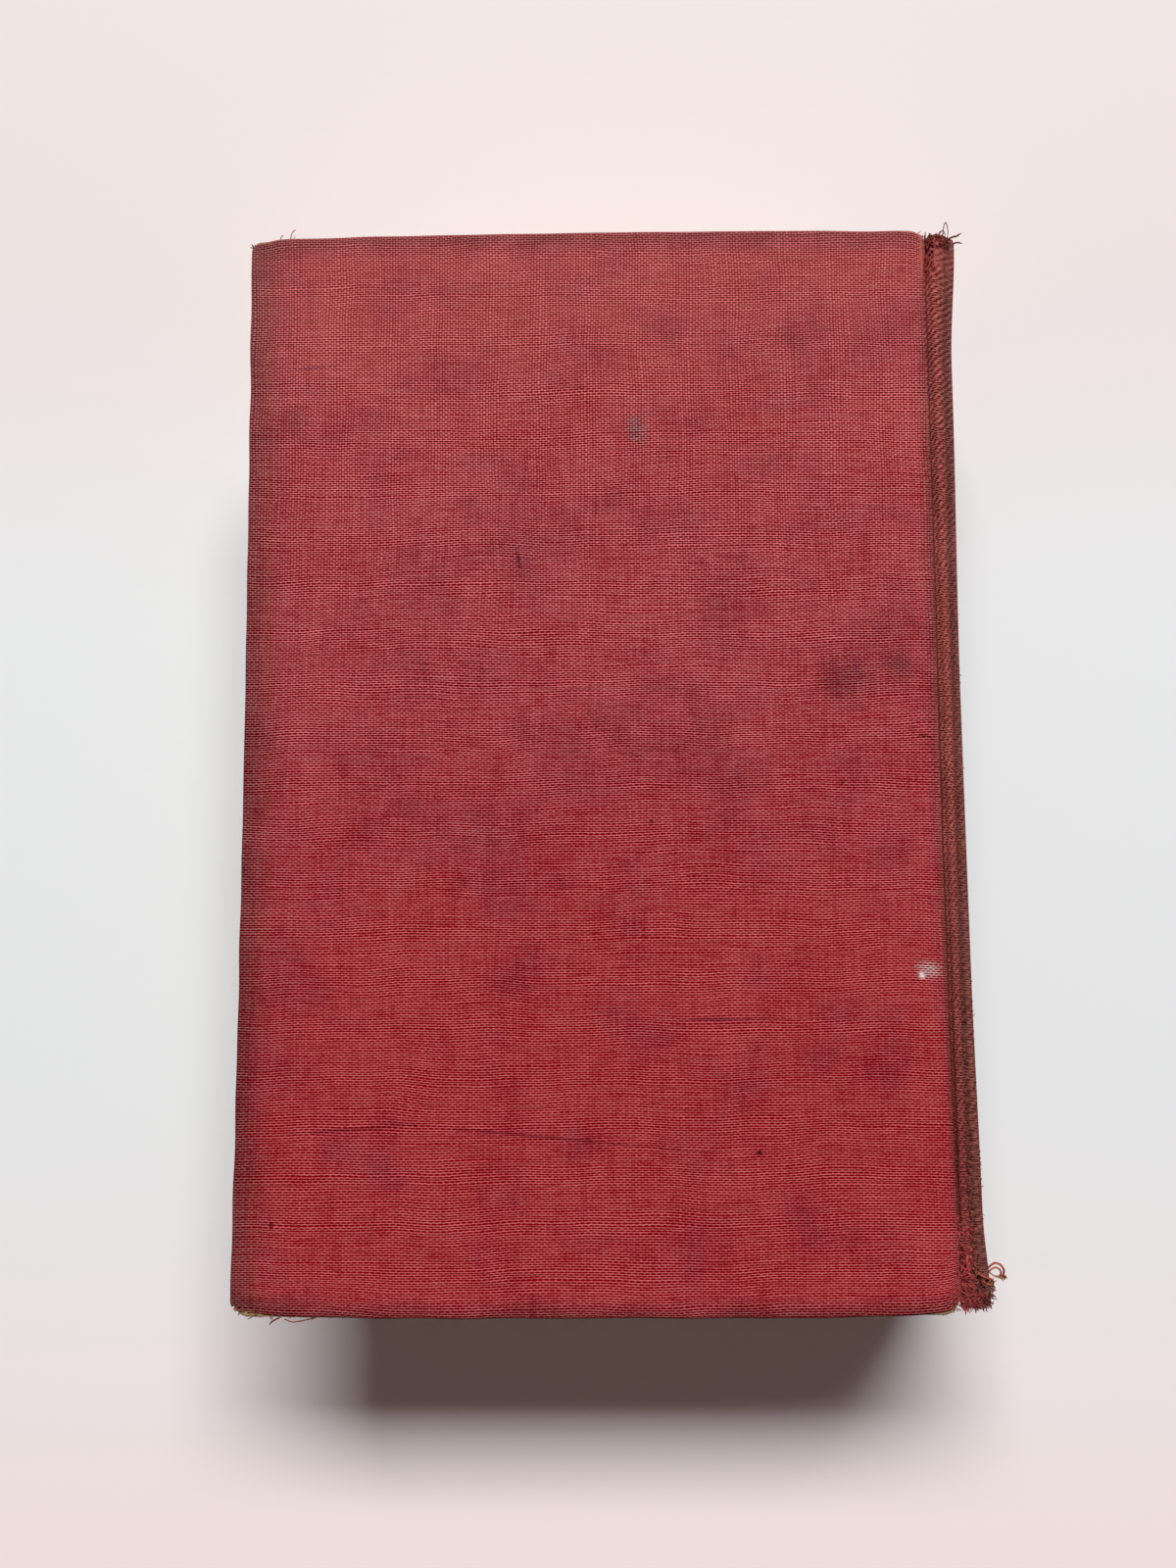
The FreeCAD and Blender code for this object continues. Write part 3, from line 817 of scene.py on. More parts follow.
def clothHalf(side, material):
    sizes = caseSizes
    path = sectionPath()
    length = float(np.sum(np.hypot(*np.diff(path, axis=0).T)))
    fore = -coverWidth + sizes["rim"]
    ends = halfHeight - sizes["rim"]
    foreEnd, end = fore + sizes["corner"], ends - sizes["corner"]
    s = graded([(fore, sizes["rimStep"]), (foreEnd, sizes["columnStep"]), *sizes["jointSteps"], (length, 1)])
    y = graded([(-ends, sizes["endStep"]), (-end, sizes["rowStep"]), (end, sizes["endStep"]), (ends, 1)])
    columns, rows = len(s), len(y)
    place, row = np.meshgrid(s, y, indexing="ij")

    outX, outY = np.zeros_like(place), np.zeros_like(place)
    outX[0, :] = -1.0
    outY[1:, 0] = -1.0
    outY[1:, -1] = 1.0
    radius = sizes["cornerRadius"] - sizes["rim"]
    corners = [(fore + radius, end * (ends - radius), -1, end, radius) for end in (-1, 1)]
    flatX, flatY, outX, outY = easeCorners(place, row, outX, outY, corners)

    # Section across the book: the board is flat, and the joint and spine follow the path
    pastBoard = place > 0
    px, pd = alongPath(path, np.clip(place, 0, None))
    baseX = np.where(pastBoard, px, flatX)
    baseDepth = np.where(pastBoard, pd, 0.0)
    ahead = alongPath(path, np.clip(place + 0.12, 0, length))
    behind = alongPath(path, np.clip(place - 0.12, 0, length))
    tx, td = ahead[0] - behind[0], ahead[1] - behind[1]
    norm = np.maximum(np.hypot(tx, td), 1e-9)
    inX = np.where(pastBoard, -td / norm, 0.0)
    inDepth = np.where(pastBoard, tx / norm, 1.0)
    inX[-1, :], inDepth[-1, :] = -1.0, 0.0

    # No edge is quite straight
    seed = 3 if side == "back" else 4
    nearEnd = smooth(np.abs(row) / halfHeight, 0.96, 1.0)
    wobble = sizes["wobble"] * waves(place, row * 0 + np.sign(row) * 40, 9.0, seed) * nearEnd
    nearFore = 1 - smooth(place, fore, fore + 6)
    foreWobble = sizes["foreWobble"] * waves(place * 0, row, 14.0, seed + 10) * nearFore
    flatY = flatY - np.sign(row) * endInset(side, place, row) + wobble
    baseX = baseX + foreWobble + sideways(place, row)
    puff = (sizes["puff"] if side == "back" else 0.0) * waves(place, row, 22.0, seed + 20)
    baseDepth = baseDepth - np.where(pastBoard, 0.0, puff * smooth(-place, 0, 6))

    points = [toFrame(side, baseX, flatY, baseDepth)]
    places = [np.stack([place, row], axis=-1).reshape(-1, 2)]
    faces = gridFaces(columns, rows)

    # The border, from the spine's middle at the tail round the fore edge to the head
    loop = [(i, 0) for i in range(columns - 1, 0, -1)]
    loop += [(0, j) for j in range(rows)]
    loop += [(i, rows - 1) for i in range(1, columns)]
    li, lj = np.array(loop).T
    rimPlace = place[li, lj]
    onSpine = smooth(rimPlace, 3.5, 6.5)
    onJoint = smooth(rimPlace, -2.0, 0.6) * (1 - onSpine)
    onBoard = 1 - onSpine - onJoint

    def shared(board, joint, spine):
        return onBoard * board + onJoint * joint + onSpine * spine

    lean = sizes["lean"] * smooth(place, 4.6, 6.6)
    onSide = smooth(place, 6.9, 9.5)
    foldX = np.where(pastBoard, -lean * (1 - onSide) + inX * onSide, inX)
    foldDepth = np.where(pastBoard, np.sqrt(1 - lean ** 2) * (1 - onSide) + inDepth * onSide, inDepth)
    rim = shared(sizes["rim"], sizes["ridgeRim"], sizes["spineRim"])
    depth = shared(sizes["boardDepth"], sizes["jointDepth"], sizes["spineDepth"])
    turnIn = shared(sizes["turnIn"], sizes["spineTurnIn"], sizes["spineTurnIn"])

    run = np.zeros(len(loop))
    before = (run, run)
    rings = [li * rows + lj]
    total = columns * rows
    for out, down in turnSteps(rim, depth, turnIn):
        run = run + np.hypot(out - before[0], down - before[1])
        before = (out, down)
        x = baseX[li, lj] + outX[li, lj] * out + foldX[li, lj] * down
        yy = flatY[li, lj] + outY[li, lj] * out
        d = baseDepth[li, lj] + foldDepth[li, lj] * down
        # The turned-in border keeps to its width where its corners meet
        inset = sizes["rim"] - out
        turned = (rimPlace < 0) & (inset > 2.5)
        x = np.where(turned, np.maximum(x, -coverWidth + inset), x)
        yy = yy - np.sign(yy) * np.maximum(np.abs(yy) - (halfHeight - inset), 0) * turned
        points.append(toFrame(side, x, yy, d))
        places.append(np.stack([rimPlace + outX[li, lj] * run, row[li, lj] + outY[li, lj] * run], axis=-1))
        rings.append(total + np.arange(len(loop)))
        total += len(loop)
    for near, far in zip(rings, rings[1:]):
        for k in range(len(loop) - 1):
            faces.append((near[k], near[k + 1], far[k + 1], far[k]))

    points = np.concatenate(points)
    places = np.concatenate(places)

    faceArray = np.array(faces)
    faceArray = faceArray[unworn(side, *places[faceArray].mean(axis=1).T)]
    used = np.unique(faceArray)
    index = -np.ones(len(points), int)
    index[used] = np.arange(len(used))
    a, b = places[used].T
    across = a if side == "back" else 2 * length - a

    piece = makeMesh(side + "CaseCloth", points[used], index[faceArray], material, side)
    keepPlaces(piece.data, "clothPlace", np.stack([across, b, rubbedShare(a, b, fore, ends)], axis=-1))
    thicken(piece, sizes["clothThickness"])
    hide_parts(side + "_cover_cloth", side + "_joint_cloth")
    if side == "back":
        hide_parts("spine_cloth")
    start, end = acrossJoint(*sizes["bend"], topZ if side == "back" else 0)
    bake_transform(piece)
    print("cloth:", side, "half,", len(piece.data.polygons), "faces")


spineMiddle = float(np.sum(np.hypot(*np.diff(sectionPath(), axis=0).T)))
clothLook["middle"] = spineMiddle
bookCloth = clothMaterial()
for side in sides:
    clothHalf(side, bookCloth)


# Boards, papers and gauze inside the covers

boardSizes = {
    "inset": 0.45,
    "jointGap": 0.02,
    "cornerRadius": 3.0,
    "headRadius": 0.9,
    "tailRadius": 2.4,
    "rim": 0.3,
    "step": 4.0,
    "cornerStep": 0.4,
    "roughness": 0.05,
}


def makeBoard(side):
    # A closed plate: a grid on each face, with rings down its edge
    sizes = boardSizes
    rim, step, fine = sizes["rim"], sizes["step"], sizes["cornerStep"]
    half = halfHeight - sizes["inset"] - rim
    low, high = -coverWidth + sizes["inset"] + rim, -sizes["jointGap"] - rim
    xs = graded([(low, fine), (low + 6, step), (high - 4, fine), (high, 1)])
    ys = graded([(-half, fine), (-half + 6, step), (half - 6, fine), (half, 1)])
    columns, rows = len(xs), len(ys)
    x, y = np.meshgrid(xs, ys, indexing="ij")
    outX, outY = np.zeros_like(x), np.zeros_like(y)
    outX[0, :], outX[-1, :] = -1, 1
    outY[1:-1, 0], outY[1:-1, -1] = -1, 1
    corners = []
    for end, name in ((-1, "tailRadius"), (1, "headRadius")):
        foreRadius, jointRadius = sizes["cornerRadius"] - rim, sizes[name] - rim
        corners.append((low + foreRadius, end * (half - foreRadius), -1, end, foreRadius))
        corners.append((high - jointRadius, end * (half - jointRadius), 1, end, jointRadius))
    gx, gy, outX, outY = easeCorners(x, y, outX, outY, corners)

    li, lj = plateEdge(columns, rows)
    count = len(li)
    thickness = boardFar - boardNear
    angles = [k * math.pi / 8 for k in range(1, 4)]
    steps = [(rim * math.sin(angle), rim * (1 - math.cos(angle))) for angle in angles]
    steps += [(rim, rim + (thickness - 2 * rim) * k / 5) for k in range(6)]
    steps += [(rim * math.sin(angle), thickness - rim * (1 - math.cos(angle))) for angle in angles[::-1]]
    points = [toFrame(side, gx, gy, boardNear)]
    rings = [li * rows + lj]
    total = columns * rows
    rng = np.random.default_rng(11 if side == "back" else 12)
    for out, down in steps:
        fuzz = sizes["roughness"] * rng.standard_normal(count)
        px = gx[li, lj] + outX[li, lj] * (out + fuzz)
        py = gy[li, lj] + outY[li, lj] * (out + fuzz)
        points.append(toFrame(side, px, py, boardNear + down))
        rings.append(total + np.arange(count))
        total += count
    points.append(toFrame(side, gx, gy, boardFar))
    rings.append(total + li * rows + lj)
    faces = gridFaces(columns, rows) + gridFaces(columns, rows, total, flip=True)
    for a, b in zip(rings, rings[1:]):
        faces += [(a[k], b[k], b[k + 1 - count], a[k + 1 - count]) for k in range(count)]
    piece = makeMesh(side + "Board", np.concatenate(points), faces, boardPaper, side)
    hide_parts(side + "_board")
    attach(piece, side + "_cover")


def sheetPiece(name, material, side, xs, ys, depthAt, thickness):
    # A thin closed sheet over a grid of x and y, with its outer face at a depth for each place
    x, y = np.meshgrid(xs, ys, indexing="ij")
    xx, depth = depthAt(x, y)
    slopeX, slopeD = np.gradient(xx, axis=0), np.gradient(depth, axis=0)
    norm = np.maximum(np.hypot(slopeX, slopeD), 1e-9)
    inner = toFrame(side, xx - slopeD / norm * thickness, y, depth + slopeX / norm * thickness)
    points = np.concatenate([toFrame(side, xx, y, depth), inner])
    columns, rows = len(xs), len(ys)
    total = columns * rows
    faces = gridFaces(columns, rows) + gridFaces(columns, rows, total, flip=True)
    li, lj = plateEdge(columns, rows)
    ids = li * rows + lj
    faces += [(a, a + total, b + total, b) for a, b in zip(ids, np.roll(ids, -1))]
    return makeMesh(name, points, faces, material, side)


boardPaper = fibreMaterial("bindersBoard", (126, 98, 66), (176, 148, 108), 0.7, 0.12, 0.95, (1.0, 1.0, 3.0))
endPaper = fibreMaterial("endPaper", (206, 190, 156), (228, 215, 186), 1.2, 0.02)
gauze = gauzeMaterial()
pageEdge = pageEdgeMaterial()
liningPaper = fibreMaterial("liningPaper", (150, 118, 82), (184, 152, 112), 0.8, 0.03)
inlayCard = fibreMaterial("inlayCard", (128, 106, 82), (164, 142, 114), 0.8, 0.05)
linenThread = looseThreadMaterial("linenThread", (196, 182, 154), (226, 214, 190))

# Depths of the layers under the cover's outer face
boardNear = (coverHigh.z - boardHigh.z) / mm
boardFar = (coverHigh.z - boardLow.z) / mm
flangeNear = (coverHigh.z - flangeHigh.z) / mm
flangeFar = (coverHigh.z - flangeLow.z) / mm
pasteFar = (coverHigh.z - pasteLow.z) / mm
blockGap = 0.25
blockFace = pasteFar + blockGap
halfPage = pagesHigh.y / mm
print("layers: board", round(boardNear, 2), round(boardFar, 2), "gauze", round(flangeNear, 2))

pasteSizes = {
    "thickness": 0.15,
    "margin": 4.0,
    "window": 15.0,
    "slope": 0.8,
    "gauzeStep": 26.0,
    "boardGap": 0.03,
    "ripple": 0.015,
    "step": 3.0,
}
foldSizes = {"reach": 1.1, "footX": 1.0, "slopeX": 1.6, "slopeRise": 1.3, "bend": (0.1, 1.7)}
leafSizes = {"thickness": 0.14, "depth": 0.15, "step": 4.0}
gauzeSizes = {"thickness": 0.25, "step": 2.5}


def makePastedown(side):
    sizes = pasteSizes
    step, slope = sizes["step"], sizes["slope"]
    fine = slope / 3
    window = halfHeight - sizes["window"]
    foreWindow = -coverWidth + sizes["window"]
    gauzeEdge = -sizes["gauzeStep"]
    xs = graded([(-coverWidth + sizes["margin"], step), (foreWindow - 0.4, fine), (foreWindow + 1.4, step),
                 (gauzeEdge - 1.4, fine), (gauzeEdge + 0.4, step), (0.0, 1)])
    ys = graded([(-halfPage, step), (-window - 0.4, fine), (-window + 1.4, step), (window - 1.4, fine),
                 (window + 0.4, step), (halfPage, 1)])
    deep = pasteFar - sizes["thickness"]
    shallow = boardFar + sizes["boardGap"]

    def depthAt(x, y):
        # It dips on to the board inside the turned-in cloth and the gauze
        inside = smooth(x, foreWindow, foreWindow + slope) * (1 - smooth(x, gauzeEdge - slope, gauzeEdge))
        inside = inside * smooth(window - np.abs(y), 0, slope)
        soft = sizes["ripple"] * waves(x, y, 18.0, 31 if side == "back" else 32)
        return x, deep + (shallow - deep) * inside + soft

    piece = sheetPiece(side + "Pastedown", endPaper, side, xs, ys, depthAt, sizes["thickness"])
    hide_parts(side + "_pastedown")
    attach(piece, side + "_cover")


def makeGauzeFlange(side):
    half = flangeHigh.y / mm
    xs = graded([(flangeLow.x / mm - jointX, 2.6), (0, 1)])
    ys = graded([(-half, gauzeSizes["step"]), (half, 1)])

    def depthAt(x, y):
        return x, np.full_like(x, flangeNear)

    piece = sheetPiece(side + "GauzeFlange", gauze, side, xs, ys, depthAt, flangeFar - flangeNear)
    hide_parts(side + "_mull_flange")
    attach(piece, side + "_cover")


def upShoulder(place, up):
    # From a run along the sheet to x, and how far up the shoulder it is
    sizes = foldSizes
    slope = math.hypot(sizes["slopeX"], sizes["slopeRise"])
    return place - up * (1 - sizes["slopeX"] / slope), up * sizes["slopeRise"] / slope


def foldedStrip(name, side, material, node, near, thickness, half):
    # The strip that bends: flat to the foot of the shoulder, then up it
    foot = foldSizes["footX"]
    end = foot + foldSizes["reach"]
    run = graded([(0, 0.15), (end, 1)])
    ys = graded([(-half, gauzeSizes["step"]), (half, 1)])

    def depthAt(place, y):
        up = np.clip(place - foot, 0, None)
        soft = 0.5 * (np.sqrt((place - foot) ** 2 + 0.12) + (place - foot))
        x, rise = upShoulder(place, np.where(place > foot + 0.9, up, soft))
        settle = warp(x, y) * smooth(place, 0, end) if side == "back" else 0.0
        return x, near - rise + settle

    piece = sheetPiece(name, material, side, run, ys, depthAt, thickness)
    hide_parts(node)
    start, end = acrossJoint(*foldSizes["bend"], topZ - near if side == "back" else near)
    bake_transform(piece)


def makeFlyleaf(side):
    foot = foldSizes["footX"]
    step = leafSizes["step"]
    xs = graded([(flyLow.x / mm - jointX, step), (0.4, 0.15), (foot + foldSizes["reach"], 1)])
    ys = graded([(-halfPage, step), (halfPage, 1)])

    def depthAt(place, y):
        # It lies on the pages, so the cover's warp doesn't lift it
        x, rise = upShoulder(place, np.clip(place - foot, 0, None))
        return x, blockFace - leafSizes["depth"] - rise + (warp(x, y) if side == "back" else 0.0)

    piece = sheetPiece(side + "Flyleaf", endPaper, side, xs, ys, depthAt, leafSizes["thickness"])
    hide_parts(side + "_flyleaf")
    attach(piece, "text_block")


for side in sides:
    makeBoard(side)
    makePastedown(side)
    makeGauzeFlange(side)
    paperNear, paperThickness = pasteFar - pasteSizes["thickness"], pasteSizes["thickness"]
    foldedStrip(side + "EndpaperFold", side, endPaper, side + "_endpaper_fold",
                paperNear, paperThickness, halfPage)
    foldedStrip(side + "GauzeFold", side, gauze, side + "_mull_fold",
                flangeNear, gauzeSizes["thickness"], flangeHigh.y / mm)
    makeFlyleaf(side)
print("inside: boards, pastedowns, gauze and endpapers")


# The block of pages

pageSizes = {
    "leafStep": 0.2,        # mm of thickness to a row of the mesh
    "signature": 2.1,       # mm of thickness to a folded section
    "leafJitter": 0.05,
    "signatureJitter": 0.10,
    "oddLeaf": 0.06,        # every second row stands back
    "mostShift": (-0.3, 0.25),
    "headShare": 0.7,       # of a leaf's shift, at its head and tail
    "hollow": 4.2,
    "sideStep": 6.0,
}


def makePages():
    sizes = pageSizes
    rng = random.Random(8)
    halfBlock = middleZ - blockFace
    foreX = pagesLow.x / mm - jointX
    backReach = pagesHigh.x / mm - jointX
    tip = (foldSizes["footX"] + foldSizes["slopeX"], halfBlock + foldSizes["slopeRise"])
    radius = (tip[1] ** 2 + (backReach - tip[0]) ** 2) / (2 * (backReach - tip[0]))
    rows = int(2 * halfBlock / sizes["leafStep"])
    rows += rows % 2
    share = np.linspace(-1, 1, rows + 1)
    along = graded([(-halfPage, sizes["sideStep"]), (halfPage, 1)])
    forward = graded([(0.0, 0.06), (0.85, 0.02), (1.0, 1)])
    points, places = [], []
    signatureShift = [rng.gauss(0, sizes["signatureJitter"]) for _ in range(60)]
    for k, t in enumerate(share):
        end = 0.0 if k in (0, rows) else 1.0
        section = int((t + 1) * halfBlock / sizes["signature"])
        jitter = signatureShift[section] + rng.gauss(0, sizes["leafJitter"])
        shift = end * (jitter - (sizes["oddLeaf"] if k % 2 else 0.0))
        shift = float(np.clip(shift, *sizes["mostShift"]))
        zEnd = t * tip[1]
        back = backReach - radius + math.sqrt(radius ** 2 - zEnd ** 2)
        fore = foreX + sizes["hollow"] * (1 - abs(t) ** 2) - shift
        half = halfPage + shift * sizes["headShare"]
        x = fore + (back - fore) * forward
        rise = foldSizes["slopeRise"] * t * np.clip((x - foldSizes["footX"]) / foldSizes["slopeX"], 0, 1)
        z = t * halfBlock + rise
        head = [(xx, half, zz) for xx, zz in zip(x[::-1], z[::-1])]
        foreEdge = [(x[0], yy * half / halfPage, z[0]) for yy in along[::-1][1:-1]]
        tail = [(xx, -half, zz) for xx, zz in zip(x, z)]
        backEdge = [(x[-1], yy * half / halfPage, z[-1]) for yy in along[1:-1]]
        ring = head + foreEdge + tail + backEdge
        points += ring
        places += [(t * halfBlock, yy, xx) for xx, yy, zz in ring]
    count = len(ring)
    faces = []
    for k in range(rows):
        for n in range(count):
            a, b = k * count + n, k * count + (n + 1) % count
            faces.append((a, a + count, b + count, b))
    m, h = len(forward), len(along)
    for base, flip in ((0, False), (rows * count, True)):
        # Each end is a row of strips from the head to the tail, and its first and last take in the edges
        headIds = [base + i for i in range(m)][::-1]
        tailIds = [base + m + h - 2 + i for i in range(m)]
        foreIds = [base + m + h - 3 - q for q in range(h - 2)]
        backIds = [base + 2 * m + 2 * h - 5 - q for q in range(h - 2)]
        for i in range(m - 1):
            inHead, inTail = headIds[i:i + 2], [tailIds[i + 1], tailIds[i]]
            strip = inHead + inTail
            if i == 0:
                strip = inHead + inTail + foreIds
            if i == m - 2:
                strip = inHead + backIds + inTail
            faces.append(tuple(strip[::-1] if flip else strip))
    frameRows = np.array([((xx + jointX) * mm, yy * mm, (middleZ + zz) * mm) for xx, yy, zz in points])
    piece = makeMesh("pageBlock", frameRows, faces, pageEdge, creaseAngle=75)
    keepPlaces(piece.data, "leafPlace", places)
    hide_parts("pages")
    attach(piece, "text_block")
    print("pages:", len(piece.data.polygons), "faces")


makePages()

innerLook = {
    "spine_mull": gauze,
    "spine_lining": liningPaper,
    "spine_inlay": inlayCard,
    "sewing_thread": linenThread,
}
for name, material in innerLook.items():
    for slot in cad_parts[name].material_slots:
        slot.material = material


# Loose and torn threads

threadColours = {
    "red": ((126, 30, 38), (202, 88, 84)),
    "dark": ((70, 24, 26), (124, 56, 52)),
    "brown": ((96, 48, 42), (158, 94, 80)),
    "rust": ((140, 62, 48), (196, 106, 82)),
    "tan": ((150, 104, 62), (196, 146, 98)),
    "white": ((196, 182, 160), (228, 218, 200)),
}
threadSizes = {
    "inJoint": 3.3,       # threads rooted nearer the board than this are grouped as the joint's threads
    "rooted": 0.25,       # how far a tuft's thread starts inside the cloth
    "stray": 0.35,
    "thickness": (0.6, 1.3),
}
threadMaterials = {}
for name, (dark, light) in threadColours.items():
    threadMaterials[name] = looseThreadMaterial(name + "Thread", dark, light)

# Where threads are rooted, and the body that carries them
threadBodies = {"back": "back_cover", "front": "front_cover", "spine": "text_block"}

# Single threads: root, colour, radius, and points of x, y and depth
handThreads = [
    ("spine", "brown", 0.10, [(4.3, 95.6, 1.8), (4.3, 96.8, 1), (4.5, 98.2, 0.6),
        (4.85, 98.7, 0.5), (5.2, 98.2, 0.7), (5.4, 97, 1), (5.3, 95.8, 1.8)]),
    ("spine", "dark", 0.17, [(5, 95.4, 2.2), (5.5, 96.1, 1.4), (6.4, 96.6, 1.1),
        (7.3, 96.9, 1), (8.1, 97.5, 1.1)]),
    ("spine", "dark", 0.15, [(5.4, 94, 2.4), (5.9, 95, 1.7), (6.8, 95.6, 1.4),
        (7.5, 95.8, 1.4), (8.4, 95.7, 1.6)]),
    ("spine", "brown", 0.10, [(3.4, 95.8, 1.4), (3.8, 96.9, 0.9), (4.4, 97.2, 0.9), (5, 96.6, 1.2)]),
    ("spine", "rust", 0.20, [(5.6, -90.4, 2.6), (6, -89.4, 1.9), (7, -88.7, 1.5),
        (8, -89, 1.5), (8.6, -89.9, 1.7), (8.6, -90.8, 2), (8.9, -91.4, 2.2)]),
    ("spine", "rust", 0.17, [(5.5, -90.9, 2.4), (6.3, -89.8, 1.7), (7.2, -89.4, 1.4),
        (7.9, -89.9, 1.4), (8, -90.7, 1.7), (7.4, -91.1, 2), (6.8, -91, 2.3)]),
    ("spine", "tan", 0.15, [(6.1, -90.3, 2.2), (6.9, -90.9, 1.9), (7.7, -91, 1.8),
        (8.3, -91.2, 2), (8.8, -91.6, 2.2)]),
    ("spine", "brown", 0.14, [(7.6, -91.2, 2), (8.2, -90.8, 1.8), (8.8, -91, 1.9),
        (9, -91.5, 2.1)]),
    ("spine", "rust", 0.20, [(2.2, -89.2, 1.5), (3.6, -89.9, 1.1), (4.9, -90.7, 1.1),
        (6.1, -91.2, 1.3), (6.7, -91.8, 1.7), (6.6, -92.5, 2.2)]),
    ("spine", "rust", 0.15, [(4.4, -91.2, 1.4), (5.3, -91.9, 1.2), (6.2, -92.2, 1.4),
        (6.9, -92.6, 1.9)]),
    ("spine", "red", 0.16, [(1.2, -84, 1.6), (2, -86.2, 0.9), (1.7, -88.3, 0.7),
        (2.2, -90.2, 0.9), (1.6, -92.2, 1.3)]),
    ("spine", "red", 0.15, [(2.6, -86.5, 1.2), (2, -88.6, 0.7), (1, -90.2, 0.9),
        (1.2, -91.9, 1.3), (2.2, -93, 1.4)]),
    ("spine", "red", 0.13, [(0.7, -88, 1.4), (1.5, -89.6, 0.9), (2.6, -90.2, 0.8),
        (3.4, -91.4, 1), (3.2, -93.2, 1.5)]),
    ("spine", "red", 0.12, [(3, -91, 1.2), (2.6, -92.6, 0.9), (3.1, -94, 1.1),
        (4, -94.9, 1.5)]),
    ("spine", "red", 0.12, [(0.9, -80.6, 1.7), (1.6, -81.8, 1), (1.3, -83.4, 0.9),
        (1.9, -84.8, 1.2)]),
    ("spine", "white", 0.06, [(2.9, 95.6, 2.5), (2.85, 94.4, 2.25), (2.9, 93, 2.3),
        (2.85, 91.9, 2.6)]),
    ("spine", "white", 0.06, [(2.3, 95.4, 2.5), (2.35, 94.4, 2.3), (2.3, 93.2, 2.3),
        (2.4, 92.4, 2.6)]),
    ("spine", "white", 0.06, [(1.5, 94.7, 2.5), (2.3, 94.8, 2.25), (3.1, 94.6, 2.25),
        (3.8, 94.8, 2.6)]),
    ("spine", "white", 0.06, [(1.5, 93.9, 2.5), (2.3, 93.8, 2.25), (3.1, 94, 2.3),
        (3.8, 93.8, 2.6)]),
    ("spine", "white", 0.06, [(1.6, 93, 2.5), (2.4, 93.1, 2.3), (3.3, 92.9, 2.35),
        (3.8, 93.1, 2.6)]),
    ("back", "rust", 0.09, [(-117, 96.4, 0.5), (-116.8, 97.6, 0), (-116.4, 98.5, 0.3),
        (-116.2, 99, 0.9)]),
    ("back", "red", 0.08, [(-118.9, 96.5, 0.4), (-118.8, 97.4, 0.3), (-118.4, 97.9, 0.7)]),
    ("back", "brown", 0.16, [(-114.9, -96.2, 0.6), (-116, -96.7, 0.1), (-117, -97.3, 0.5),
        (-117.7, -98.1, 1.2)]),
    ("back", "brown", 0.11, [(-114.9, -96.9, 0.4), (-113.4, -97.3, 0.2), (-111.2, -97, 0.3),
        (-109.4, -96.7, 0.7)]),
    ("back", "brown", 0.09, [(-119.4, -95.7, 0.2), (-120.4, -96.4, 0), (-121.3, -97, 0.5)]),
]

